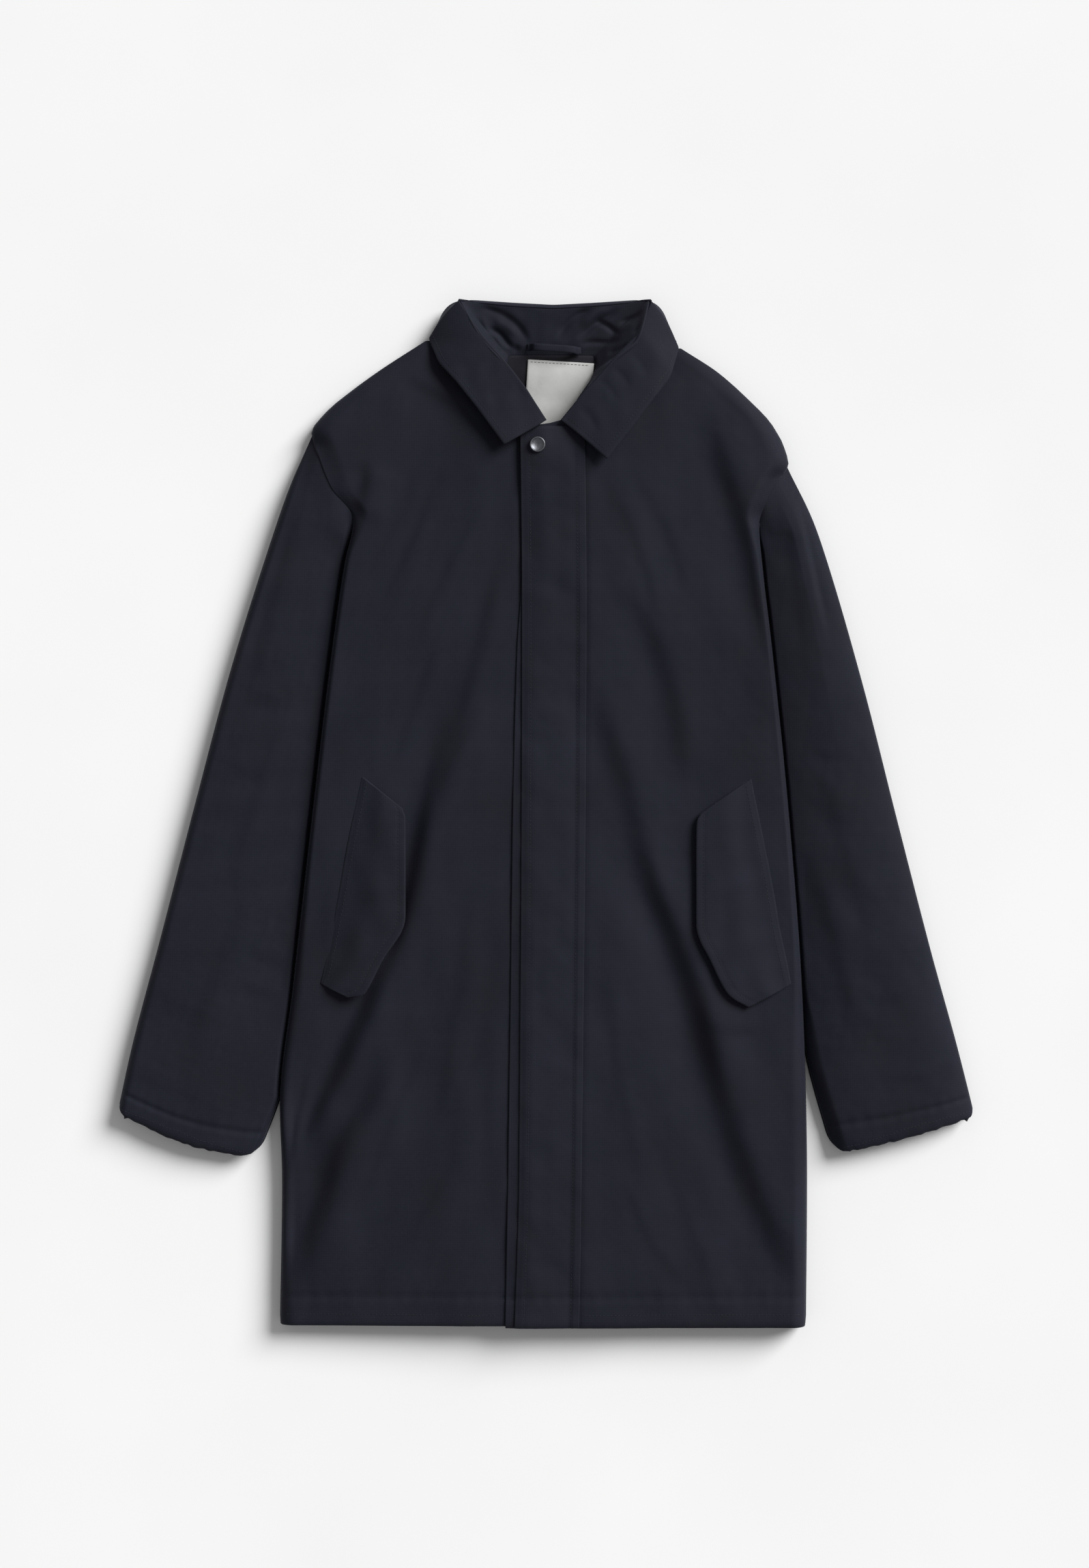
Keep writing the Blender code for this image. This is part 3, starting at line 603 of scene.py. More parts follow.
STAND_CREASES = (
    Fold(0.55, 3, 7, ((-62, 461), (-56, 446), (-46, 432))),
    Fold(0.40, 3, 5, ((-50, 445), (-44, 433), (-39, 424))),
    Crease(-2.2, 3, 4, ((-64, 470), (-52, 466), (-40, 461), (-28.5, 453), (-20, 442), (-15, 430))),
    Crease(-2.6, 3, 3, ((-72, 462), (-69, 455), (-63, 445))),
    Crease(-2.6, 3, 3, ((-56, 450), (-43, 443), (-36, 435), (-28, 428))),
    Crease(-2.6, 3, 3, ((-25, 434), (-29, 426), (-34, 414))),
    Crease(1.2, 4, 4, ((-50, 456), (-38, 450), (-26, 440))),
    Crease(-2.4, 4, 3, ((50, 472), (38, 466), (28, 460), (17, 450), (8, 436))),
    Crease(-2.4, 3, 3, ((70, 468), (58, 460), (47, 454), (37, 446), (27, 437))),
    Crease(1.4, 4, 4, ((60, 471), (44, 461), (30, 449))),
    Crease(-2.6, 2.5, 2.5, ((44, 457), (56, 451), (64, 445), (70, 441))),
    Crease(-2.6, 2.5, 2.5, ((94, 466), (86, 460), (76, 456), (66, 452))),
    Crease(-2.4, 2.5, 2.5, ((92, 458), (86, 448), (78, 442))),
    Crease(-2.0, 2.5, 2.5, ((30, 433), (44, 436), (58, 435), (72, 438))),
    Crease(1.6, 3, 3, ((84, 453), (72, 447), (60, 440))),
    Crease(-1.8, 2, 2, ((76, 433), (66, 427), (56, 424))),
)
FRONT = {"right": FRONT_RIGHT, "left": FRONT_LEFT}
FRONT_CREASES = {"right": FRONT_RIGHT_CREASES, "left": FRONT_LEFT_CREASES}
SLEEVE = {"right": SLEEVE_RIGHT, "left": SLEEVE_LEFT}
SLEEVE_CREASES = {"right": SLEEVE_RIGHT_CREASES, "left": SLEEVE_LEFT_CREASES}
UNDER_CREASES = {"right": UNDER_RIGHT_CREASES, "left": UNDER_LEFT_CREASES}
FLAP = {"right": FLAP_RIGHT, "left": FLAP_LEFT}


def monotone(keys, values, at):
    """Read a curve through a few values at places between them, with no overshoot."""
    keys = np.asarray(keys, float)
    values = np.asarray(values, float)
    step = np.diff(keys)
    rise = np.diff(values) / step
    slope = np.concatenate(([rise[0]], np.zeros(len(keys) - 2), [rise[-1]]))
    for i in range(1, len(keys) - 1):
        if rise[i - 1] * rise[i] > 0:
            slope[i] = 2 * rise[i - 1] * rise[i] / (rise[i - 1] + rise[i])
    at = np.clip(at, keys[0], keys[-1])
    i = np.clip(np.searchsorted(keys, at) - 1, 0, len(step) - 1)
    t = (at - keys[i]) / step[i]
    start = (1 + 2 * t) * (1 - t) ** 2 * values[i] + t * (1 - t) ** 2 * step[i] * slope[i]
    end = t * t * (3 - 2 * t) * values[i + 1] + t * t * (t - 1) * step[i] * slope[i + 1]
    return start + end


def smooth(rows, value, at, key="y"):
    """Read one column of a table at places between its rows."""
    return monotone([getattr(row, key) for row in rows], [getattr(row, value) for row in rows], at)


def curve(points, places):
    """Read a curve through points at places counted in points from its start."""
    points = np.asarray(points, float)
    return np.stack([monotone(range(len(points)), axis, places) for axis in points.T], axis=-1)


def straight(points, places):
    """Read straight lines between points, at places counted in points, with corners just rounded."""
    points = np.asarray(points, float)
    near = [places + shift for shift in CORNER_SHIFTS]
    columns = [sum(np.interp(at, range(len(points)), axis) for at in near) / len(near) for axis in points.T]
    return np.stack(columns, axis=-1)


def ease(t):
    """Go from 0 to 1 with no slope at either end."""
    t = np.clip(t, 0.0, 1.0)
    return t * t * (3 - 2 * t)


def rounded(t):
    """Go from 0 to 1 along a quarter circle, steep at first."""
    t = np.clip(t, 0.0, 1.0)
    return np.sqrt(t * (2 - t))


def mix(a, b, t):
    return a + (b - a) * t


def bell(t):
    return np.exp(-t * t)


def spread(count, pull):
    """Shares from 0 to 1 across a panel, closer together near its sides."""
    t = np.linspace(0, 1, count)[None, :]
    return mix(t, ease(t), pull)


def grid(x, y, z):
    return np.stack(np.broadcast_arrays(x, y, z), axis=-1)


def one_crease(crease, path, x, y):
    """Height of one crease at a list of places."""
    run = np.diff(path, axis=0)
    length = np.hypot(run[:, 0], run[:, 1])
    reached = np.concatenate(([0.0], np.cumsum(length)))
    dx = x[:, None] - path[None, :-1, 0]
    dy = y[:, None] - path[None, :-1, 1]
    t = np.clip((dx * run[:, 0] + dy * run[:, 1]) / length ** 2, 0, 1)
    gap = np.hypot(dx - t * run[:, 0], dy - t * run[:, 1])
    nearest = np.argmin(gap, axis=1)
    pick = (np.arange(len(x)), nearest)
    along = (reached[nearest] + t[pick] * length[nearest]) / reached[-1]
    side = np.sign(run[nearest, 0] * dy[pick] - run[nearest, 1] * dx[pick])
    share = gap[pick] / np.where(side > 0, crease.left, crease.right)
    taper = ease(along / CREASE_TAPER) * ease((1 - along) / CREASE_TAPER)
    if isinstance(crease, Fold):
        wall = crease.slope * taper * side * gap[pick] / (1 + share ** 2)
        return wall * np.exp(-0.5 * (share / FOLD_SPREAD) ** 2)
    return crease.depth * taper * bell(share)


def crease_height(creases, x, y):
    """Add up a panel's creases at every place of a grid."""
    x, y = np.broadcast_arrays(np.asarray(x, float), np.asarray(y, float))
    total = np.zeros(x.shape)
    for crease in creases:
        widths = CREASE_REACH * FOLD_SPREAD if isinstance(crease, Fold) else CREASE_REACH
        reach = widths * max(crease.left, crease.right)
        count = len(crease.path)
        path = curve(crease.path, np.linspace(0, count - 1, CREASE_STEPS * count))
        low = path.min(axis=0) - reach
        high = path.max(axis=0) + reach
        near = (x > low[0]) & (x < high[0]) & (y > low[1]) & (y < high[1])
        if near.any():
            total[near] += one_crease(crease, path, x[near], y[near])
    return total


def ripples(x, y, ripple):
    """Small uneven waves in patches."""
    draw = np.random.default_rng(ripple.seed)
    total = 0.0
    for _ in range(RIPPLE_WAVES):
        if ripple.lean is None:
            angle = draw.uniform(0, math.pi)
        else:
            angle = math.radians(ripple.lean) + draw.normal(0, RIPPLE_FAN)
        size = ripple.length * draw.uniform(*RIPPLE_LENGTHS)
        across = x * math.cos(angle) + y * math.sin(angle)
        total = total + np.sin(2 * math.pi * across / size + draw.uniform(0, RIPPLE_PHASE))
    patch = np.sin(x / (RIPPLE_PATCH[0] * ripple.length) + draw.uniform(0, RIPPLE_PHASE))
    patch = patch * np.sin(y / (RIPPLE_PATCH[1] * ripple.length) + draw.uniform(0, RIPPLE_PHASE))
    share = 1 - RIPPLE_PATCH_SHARE + RIPPLE_PATCH_SHARE * patch
    return ripple.height * (total / RIPPLE_CREST * share)


def pucker(along, away, length, reach):
    """Little gathers across a row of stitches, about 1 high beside it."""
    wave = np.sin(2 * math.pi * along / length + 1.7 * np.sin(along / (2.7 * length)))
    return wave * bell(away / reach)


def below_collar(y):
    """1 on the body, 0 under the back of the collar."""
    return ease((COLLAR_Y - y) / COLLAR_FADE)


def front_level(side, x, y, calm=False, creased=True):
    """Height of a front panel's outer face without its closing. Calm leaves the small ripples out."""
    rows = FRONT[side]
    outer = smooth(rows, "outer", y)
    inset = np.abs(x - outer) / smooth(BODY_ROLL, side, y)
    shoulder, foot = ARMHOLE[side]
    armhole = ease((y - foot + ARMHOLE_LEAD) / ARMHOLE_FADE[0]) * ease((shoulder - y) / ARMHOLE_FADE[1])
    gentle = mix(ease(inset), np.sin(math.pi / 2 * np.clip(inset, 0, 1)), ARMHOLE_ROUND)
    rise = mix(rounded(inset), gentle, armhole)
    height = mix(smooth(rows, "seam", y), smooth(CROWN, "height", y), rise)
    if side == "right":
        fall = CORNER_FALL * ease((CORNER_FROM[0] - x) / CORNER_FADE[0])
        height = height - fall * ease((CORNER_FROM[1] - y) / CORNER_FADE[1]) * ease(inset)
    bent = crease_height(FRONT_CREASES[side], x, y) if creased else 0.0
    if not calm:
        for ripple in FRONT_RIPPLES[side]:
            bent = bent + ripples(x, y, ripple)
    height = height + bent * ease(np.abs(x - outer) / CREASE_INSET)
    closing = 1 - ease((np.abs(x - MIDDLE_X) - CLOSING_HALF) / CLOSING_FADE)
    height = height + CLOSING_LIFT * closing * below_collar(y)
    hem = y - HEM_EDGE
    height = height - HEM_LINE * bell((hem - HEM_DEPTH) / HEM_LINE_WIDTH)
    height = height + HEM_GATHER * pucker(x, hem - HEM_DEPTH, *HEM_PUCKER)
    return height - HEM_TURN * (1 - rounded(hem / HEM_TURN_WIDTH))


def near_edge(x, y):
    """1 at the closing edge of the left front, 0 from the edge's width inwards."""
    return 1 - ease((x - smooth(FRONT_LEFT, "inner", y)) / EDGE_WIDTH)


def overlap_rise(x):
    return OVERLAP_RISE * (1 - ease((x - OVERLAP_EDGE) / OVERLAP_FADE))


def placket_sides(y):
    return smooth(PLACKET, "left", y), smooth(PLACKET, "right", y)


def groove_share(y):
    """How much of the placket's groove there is. It fades towards the collar."""
    return mix(GROOVE_REMAINS, 1.0, ease((GROOVE_FADE[0] - y) / GROOVE_FADE[1]))


def front_surface(side, x, y, calm=False, creased=True):
    """Height of the outer face of a front panel."""
    height = front_level(side, x, y, calm, creased)
    closed = below_collar(y)
    if side == "right":
        sinks = ((UNDERLAP_SINK, UNDERLAP_FROM), (UNDERLAP_HIDDEN_SINK, UNDERLAP_HIDDEN_FROM))
        for sink, (start, way) in sinks:
            height = height - sink * ease((x - start) / way) * closed
        return height
    height = height + overlap_rise(x) * closed
    height = height - EDGE_PRESS * near_edge(x, y) * ease((EDGE_TOP - y) / EDGE_TOP_FADE)
    left, right = placket_sides(y)
    out = ease((x - right + GROOVE_INSET) / GROOVE_INSET)
    hollow = mix(HOLLOW_GROOVE * groove_share(y), HOLLOW_EDGE, out) * (1 - ease((x - right) / HOLLOW_PAST))
    start, way = HOLLOW_FROM
    return height - hollow * ease((x - left - start) / way) * ease((PLACKET_TOP - y) / HOLLOW_TOP_FADE)


def placket_wall(x, y):
    left, right = placket_sides(y)
    wall = mix(PLACKET_WALL_LEFT, PLACKET_WALL, ease((x - left) / PLACKET_SIDE_LEFT))
    return mix(PLACKET_WALL_RIGHT, wall, ease((right - x) / PLACKET_SIDE_RIGHT))


def placket_surface(x, y):
    """The placket lies on the left front. It falls gently to a groove beside its sewn right side."""
    left, right = placket_sides(y)
    height = front_level("left", x, y) + overlap_rise(x) - EDGE_PRESS * near_edge(x, y)
    sewn_side = 1 - ease((right - x) / PLACKET_SIDE_RIGHT)
    height = height + SEAM_GAP + placket_wall(x, y) + (PLACKET_WALL - PLACKET_WALL_RIGHT) * sewn_side
    groove = np.clip((x - left) / (right - GROOVE_INSET - left), 0, 1)
    step = ease((x - right + GROOVE_INSET) / GROOVE_STEP_WAY)
    height = height + (GROOVE_STEP * step - PLACKET_GROOVE * groove) * groove_share(y)
    height = height + SNAP_RISE * bell(np.hypot(x - SNAP_X, y - SNAP_Y) / SNAP_RISE_WIDTH)
    height = height - PLACKET_LINE * bell((x - left - PLACKET_STITCH) / PLACKET_LINE_WIDTH)
    return height + ripples(x, y, PLACKET_RIPPLE)


def top_surface(x, y):
    """Height of the uppermost face of the fronts and the placket."""
    on_left = x >= smooth(FRONT_LEFT, "inner", y)
    height = np.where(on_left, front_surface("left", x, y, True), front_surface("right", x, y, True))
    left, right = placket_sides(y)
    between_sides = (x >= left - PLACKET_REACH) & (x <= right + PLACKET_REACH)
    on_placket = between_sides & (y <= PLACKET_TOP + PLACKET_REACH)
    return np.where(on_placket, placket_surface(x, y), height)


def back_surface(x, y):
    """Height of the underside of the back panel, which is 0 where it rests."""
    height = NECK_LIFT * ease((y - NECK_LIFT_FROM) / (NECK_LIFT_TO - NECK_LIFT_FROM))
    for side, out in OUT.items():
        inset = out * (smooth(FRONT[side], "outer", y) - x)
        height = np.maximum(height, smooth(FRONT[side], "lift", y) * (1 - ease(inset / BACK_ROLL)))
    return height


def front_points(side, columns, lines):
    """Points on the outer face of a front panel, line by line from the hem."""
    rows = FRONT[side]
    y = np.linspace(rows[0].y, rows[-1].y, lines)[:, None]
    share = spread(columns, PANEL_PULL)
    x = mix(smooth(rows, "outer", y), smooth(rows, "inner", y), share)
    dip = NECK_DIP[side] * ease((y - rows[-2].y) / (rows[-1].y - rows[-2].y))
    y = y - dip * ease(share)
    return grid(x, y, front_surface(side, x, y))


def placket_points(columns=34, lines=280):
    y = np.linspace(PLACKET[0].y, PLACKET_TOP, lines)[:, None]
    left, right = placket_sides(y)
    x = mix(left, right, spread(columns, FLAT_PULL))
    return grid(x, y, placket_surface(x, y))


def back_points(columns=70, lines=130):
    y = np.linspace(BACK_FOOT, BACK_TOP["right"], lines)[:, None]
    right = smooth(FRONT_RIGHT, "outer", y)
    left = smooth(FRONT_LEFT, "outer", np.minimum(y, BACK_TOP["left"]))
    x = mix(right, left, spread(columns, FLAT_PULL))
    from_right = mix(BACK_TOP["right"], BACK_TOP["middle"], ease((x - right) / BACK_TOP_WAY))
    from_left = mix(BACK_TOP["left"], BACK_TOP["middle"], ease((left - x) / BACK_TOP_WAY))
    level = np.minimum(from_right, from_left)
    level = mix(BACK_TOP["right"], level, ease((x - right) / BACK_CORNER_WAY))
    y = mix(y, np.minimum(y, level), ease((y - BACK_TOP_FROM) / BACK_TOP_FADE))
    middle = ease((x - right) / BACK_ROLL) * ease((left - x) / BACK_ROLL)
    return grid(x, y, back_surface(x, y) + crease_height(BACK_CREASES, x, y) * middle)


def body_edge(side, y):
    """X of the body's side beside a sleeve, carried on above the foot of the armhole."""
    foot = ARMHOLE[side][1]
    below = smooth(FRONT[side], "outer", np.minimum(y, foot))
    return below - OUT[side] * SIDE_LEAN * np.maximum(0, y - foot)


def side_face(t):
    """Go from 0 to 1 up a slanting face with a just rounded top."""
    t = np.clip(t, 0.0, 1.0)
    return mix(mix(t, ease(t), FACE_FOOT), rounded(t), FACE_TOP)


def dome(t):
    """Go from 0 to 1 ever more slowly."""
    return 1 - (1 - np.clip(t, 0.0, 1.0)) ** 2


def sleeve_points(side, edge, columns, lines, under):
    """Points on the outer face of a sleeve's upper or lower panel, from the armhole to the cuff."""
    rows = SLEEVE[side]
    out = OUT[side]
    s = np.linspace(0, 1, lines)[:, None]
    along = rows[-1].along * mix(s, dome(s), SLEEVE_PULL)
    cut = {name: smooth(rows, name, along, "along") for name in SleeveRow._fields}
    width = np.hypot(cut["inner_x"] - cut["outer_x"], cut["inner_y"] - cut["outer_y"])
    cuff = rows[-1].along - along
    trim = [radius * (1 - rounded(cuff / radius)) / width for radius in CUFF_CORNER]
    t = mix(trim[0], 1 - trim[1], spread(columns, PANEL_PULL))
    place = t * width
    bow = CUFF_BOW[side] * ease((along - rows[-3].along) / (rows[-1].along - rows[-3].along))
    uneven = ripples(place, 0 * place, CUFF_RIPPLE[side]) * ease((CUFF_UNEVEN - cuff) / CUFF_UNEVEN)
    x = mix(cut["outer_x"], cut["inner_x"], t)
    y = mix(cut["outer_y"], cut["inner_y"], t) - bow * np.sin(math.pi * t) + uneven
    fade = ease(place / SLEEVE_SIDE_FADE) * ease((width - place) / SLEEVE_SIDE_FADE)
    fade = fade * ease(along / SLEEVE_HEAD_FADE)
    if under:
        outer_rise = (cut["seam"] - UNDER_SINK) * (1 - ease(place / UNDER_ROLL))
        inner_rise = np.maximum(0, cut["inner"] - UNDER_INNER_FROM) * UNDER_INNER_GAIN
        inner_rise = inner_rise * (1 - ease((width - place) / UNDER_ROLL))
        z = np.maximum(outer_rise, inner_rise) + crease_height(UNDER_CREASES[side], x, y) * fade
    else:
        outer_rise = mix(cut["seam"], cut["crown"], rounded(place / SLEEVE_ROLL[side]))
        beside = np.minimum(out * (x - body_edge(side, y)) - BODY_GAP, width - place)
        inner_rise = mix(cut["inner"], cut["ledge"], side_face(beside / cut["face"]))
        inner_rise = inner_rise + (cut["crown"] - cut["ledge"]) * dome(beside / cut["ease"])
        bent = crease_height(SLEEVE_CREASES[side], x, y)
        for ripple in SLEEVE_RIPPLES[side]:
            bent = bent + ripples(x, y, ripple)
        z = np.minimum(outer_rise, inner_rise) + bent * fade * ease(beside / SLEEVE_FACE_FADE)
        z = z - CUFF_LINE * bell((cuff - CUFF_DEPTH) / CUFF_LINE_WIDTH)
        z = z + CUFF_GATHER * pucker(place, cuff - CUFF_DEPTH, *CUFF_PUCKER)
        turned = CUFF_TURN * (1 - rounded(cuff / CUFF_TURN_WIDTH))
        z = z - turned * ease(place / CUFF_TURN_SIDE) * ease((width - place) / CUFF_TURN_SIDE)
    seam_y = mix(*ARMHOLE[side], t)
    seam_x = np.interp(seam_y, edge[:, 1], edge[:, 0]) - out * SEAM_TUCK[side]
    seam_z = np.interp(seam_y, edge[:, 1], edge[:, 2]) + (UNDER_SEAM_RISE if under else -SEAM_DROP[side])
    joined = (1 - ease(along / rows[2].along)) ** 2
    x = x + (seam_x - mix(rows[0].outer_x, rows[0].inner_x, t)) * joined
    y = y + (seam_y - mix(rows[0].outer_y, rows[0].inner_y, t)) * joined
    return grid(x, y, mix(z, seam_z, joined))


def blurred(values, times):
    """Average each value of a grid with its neighbours, a few times over."""
    for _ in range(times):
        wide = np.pad(values, 1, mode="edge")
        beside = wide[:-2, 1:-1] + wide[2:, 1:-1] + wide[1:-1, :-2] + wide[1:-1, 2:]
        values = 0.5 * values + 0.125 * beside
    return values


def unit(vectors):
    return vectors / np.linalg.norm(vectors, axis=-1, keepdims=True)


def leaf_points(columns=30, lines=260):
    """Points on the outer face of the collar leaf, which stands off the fronts wherever it lies over them."""
    last = len(LEAF) - 1
    stations = np.linspace(0, last, lines)
    roll, bend, edge = (straight(column, stations)[:, None, :] for column in zip(*LEAF))
    t = np.linspace(0, 1, columns)[None, :, None]
    x, y, z = np.moveaxis((1 - t) ** 2 * roll + 2 * t * (1 - t) * bend + t * t * edge, -1, 0)
    t = t[..., 0]
    over = ease((edge[..., 2] - LEAF_OVER_Z[0]) / LEAF_OVER_Z[1])
    over = over * ease((LEAF_OVER_Y[0] - y) / LEAF_OVER_Y[1])
    stand_off = monotone((0, last / 2, last), LEAF_STAND_OFF, stations)[:, None] * t ** LEAF_STAND_OFF_BEND
    clear = top_surface(x, y) + TRIM_WALL + LEAF_CLEARANCE + stand_off
    z = mix(z, np.maximum(z + stand_off, clear), over)
    z = mix(z, blurred(z, LEAF_BLURS), over)
    away = ease(t / LEAF_SIDE_FADE) * ease((1 - t) / LEAF_SIDE_FADE)
    z = z + (crease_height(LEAF_CREASES, x, y) + ripples(x, y, LEAF_RIPPLE)) * over * away
    points = grid(x, y, z)
    inward = unit(points[:, :1] - points[:, 2:3])
    outward = unit(np.array([0.0, 0.0, 1.0]) - inward[..., 2:] * inward)
    turn = np.radians(np.linspace(ROLL_TURN, 0, ROLL_COLUMNS + 1)[:-1])[None, :, None]
    radius = monotone(ROLL_RADIUS_ROWS, ROLL_RADIUS, stations)[:, None, None]
    rolled = points[:, :1] + radius * (np.sin(turn) * inward - (1 - np.cos(turn)) * outward)
    return np.concatenate([rolled, points], axis=1)


def stand_points(columns=36, lines=220):
    """Points on the inner face of the collar stand, which shows inside the neck."""
    stations = np.linspace(0, len(STAND) - 1, lines)
    base, top = (curve(column, stations)[:, None, :] for column in zip(*STAND))
    corners = sum(bell((stations - corner) / STAND_CORNER_WIDTH) for corner in STAND_CORNERS)
    tuck = STAND_TUCK + STAND_CORNER_TUCK * corners
    share = mix(-STAND_SINK, tuck[:, None], np.linspace(0, 1, columns))
    x, y, _ = np.moveaxis(mix(base, top, share[..., None]), -1, 0)
    hollow = STAND_HOLLOW * (1 - ease((stations - STAND_HOLLOW_END[0]) / STAND_HOLLOW_END[1]))[:, None]
    bowed = np.clip(share, 0, 1) ** STAND_HOLLOW_BEND + np.minimum(share, 0) + np.maximum(share - 1, 0)
    z = mix(base[..., 2], top[..., 2], mix(share, bowed, hollow))
    away = ease(share / STAND_SIDE_FADE[0]) * ease((STAND_TUCK - share) / STAND_SIDE_FADE[1])
    z = z + (crease_height(STAND_CREASES, x, y) + ripples(x, y, STAND_RIPPLE)) * away
    foot = STAND_FOOT_DROP * (1 - ease(share / STAND_FOOT)) + STAND_SINK_DROP * ease(-share / STAND_SINK)
    return grid(x, y, z - foot)


def flap_points(side, columns=44, lines=84):
    """Points on the outer face of a pocket flap, from its sewn edge to its free one."""
    rows = FLAP[side]
    last = len(rows) - 1
    stations = np.linspace(0, last, lines)[:, None]
    t = np.linspace(0, 1, columns)[None, :]
    seam_x, seam_y, free_x, free_y, puff = (
        monotone(range(last + 1), column, stations) for column in zip(*rows)
    )
    x = mix(seam_x, free_x, t)
    y = mix(seam_y, free_y, t)
    end = ease(stations / FLAP_END) * ease((last - stations) / FLAP_END)
    stand_off = FLAP_CLEARANCE + (puff + FLAP_PUFF) * ease(t / FLAP_PUFF_WAY) + FLAP_LIFT[side] * t ** 2 * end
    from_line = np.hypot(free_x - seam_x, free_y - seam_y) * (1 - t) - FLAP_LINE_INSET
    groove = FLAP_LINE * bell(from_line / FLAP_LINE_WIDTH)
    gathers = FLAP_GATHER * pucker(y, from_line, *FLAP_PUCKER) + ripples(x, y, FLAP_RIPPLE)
    steep, gentle = (ease(t / way) for way in FLAP_RISE_WAYS)
    raised = mix(FLAP_SEWN, TRIM_WALL + stand_off, mix(steep, gentle, FLAP_RISE_MIX))
    plain = front_surface(side, x, y, True, False)
    below = blurred(np.maximum(plain - FLAP_SPAN, front_surface(side, x, y, True)), FLAP_BLURS)
    return grid(x, y, below + raised - groove * end + gathers * ease(t / FLAP_GATHER_FROM))


def facing_points(count=44):
    y = np.linspace(*FACING_Y, count)[:, None]
    half = mix(*FACING_HALF, ease((y - FACING_TAPER[0]) / FACING_TAPER[1]))
    x = MIDDLE_X + np.linspace(-1, 1, count)[None, :] * half
    z = back_surface(x, y) + WALL + SEAM_GAP + FACING_GAP + FACING_WALL
    return grid(x, y, z + ripples(x, y, FACING_RIPPLE))


def label_points(columns=36, lines=40):
    turn = math.radians(LABEL_TURN)
    v = np.linspace(-0.5, 0.5, lines)[:, None] * LABEL_LENGTH
    u = np.linspace(-0.5, 0.5, columns)[None, :] * LABEL_WIDTH
    x = LABEL_CENTRE[0] + u * math.cos(turn) - v * math.sin(turn)
    y = LABEL_CENTRE[1] + u * math.sin(turn) + v * math.cos(turn)
    z = back_surface(x, y) + WALL + SEAM_GAP + LABEL_GAP + FACING_WALL + LABEL_WALL
    return grid(x, y, z + LABEL_WAVE * (1 + ripples(x, y, LABEL_RIPPLE)))


def loop_points(columns=9, lines=60):
    """The hanger loop is a short tape that arches between its two sewn ends."""
    share = np.linspace(0, 1, lines)[:, None]
    across = np.linspace(-0.5, 0.5, columns)[None, :]
    near = np.minimum(share, 1 - share)
    arch = LOOP_ARCH * rounded(near / LOOP_SHOULDER) * ease(near / LOOP_FOOT)
    x, y = (mix(start, end, share) for start, end in zip(LOOP_FROM, LOOP_TO))
    z = LOOP_BASE + LOOP_WALL + arch - LOOP_DROOP * (2 * across) ** 4
    return grid(x, y + across * LOOP_WIDTH, z)


def grid_normals(points):
    down = np.gradient(points, axis=0)
    across = np.gradient(points, axis=1)
    return unit(np.cross(across, down))


def outer_ring(lines, columns):
    """Places of a grid's edge points in order round it, and of the point just inside each."""
    ring = [(0, j) for j in range(columns)]
    ring += [(i, columns - 1) for i in range(1, lines)]
    ring += [(lines - 1, j) for j in range(columns - 2, -1, -1)]
    ring += [(i, 0) for i in range(lines - 2, 0, -1)]
    ring = np.array(ring)
    inside = np.stack([np.clip(ring[:, 0], 1, lines - 2), np.clip(ring[:, 1], 1, columns - 2)], axis=1)
    return ring, inside


def smooth_object(name, mesh, material):
    mesh.polygons.foreach_set("use_smooth", [True] * len(mesh.polygons))
    mesh.materials.append(material)
    piece = bpy.data.objects.new(name, mesh)
    bpy.context.scene.collection.objects.link(piece)
    return piece


def add_object(name, points, faces, material):
    """Make a smooth mesh object from points in millimetres."""
    mesh = bpy.data.meshes.new(name)
    mesh.from_pydata((np.asarray(points) * MM).tolist(), [], [list(map(int, face)) for face in faces])
    mesh.update()
    return smooth_object(name, mesh, material)


def shell(node, points, wall, material, face_up=True):
    """Make a closed cloth piece from the points of its outer face, with a rounded rim, in place of a node."""
    lines, columns = points.shape[:2]
    wall = np.broadcast_to(wall, (lines, columns))[..., None]
    normal = grid_normals(points)
    if (normal[lines // 2, columns // 2, 2] > 0) != face_up:
        points = points[:, ::-1]
        wall = wall[:, ::-1]
        normal = grid_normals(points)
    ring, inside = outer_ring(lines, columns)
    at = (ring[:, 0], ring[:, 1])
    out = points[at] - points[inside[:, 0], inside[:, 1]]
    out -= np.sum(out * normal[at], axis=1, keepdims=True) * normal[at]
    out = unit(out)
    loops = []
    for angle in RIM_ANGLES:
        lean = math.radians(angle)
        lift = (math.cos(lean) - 1) / 2 * wall[at]
        loops.append(points[at] + normal[at] * lift + out * (RIM_REACH * wall[at] * math.sin(lean)))
    inner = points - normal * wall
    count = lines * columns
    place = np.arange(count).reshape(lines, columns)
    quads = np.stack([place[:-1, :-1], place[:-1, 1:], place[1:, 1:], place[1:, :-1]], axis=-1)
    quads = quads.reshape(-1, 4)
    size = len(ring)
    rings = [2 * count + k * size + np.arange(size) for k in range(len(loops))]
    rings = [place[at], *rings, count + place[at]]
    faces = [quads, quads[:, ::-1] + count]
    for upper, lower in zip(rings, rings[1:]):
        faces.append(np.stack([upper, lower, np.roll(lower, -1), np.roll(upper, -1)], axis=-1))
    vertices = np.concatenate([points.reshape(-1, 3), inner.reshape(-1, 3)] + loops)
    piece = add_object(node + "_cloth", vertices, np.concatenate(faces), material)
    down, across = np.indices((lines, columns))
    steps_in = np.minimum.reduce([down, lines - 1 - down, across, columns - 1 - across])
    wear = np.exp(-steps_in.astype(float)).reshape(-1)
    wear = np.concatenate([wear, wear, np.ones(len(loops) * size)])
    rubbed = piece.data.attributes.new("wear", "FLOAT", "POINT")
    rubbed.data.foreach_set("value", wear.astype(np.float32))
    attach(piece, "root")
    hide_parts(node)
    return piece


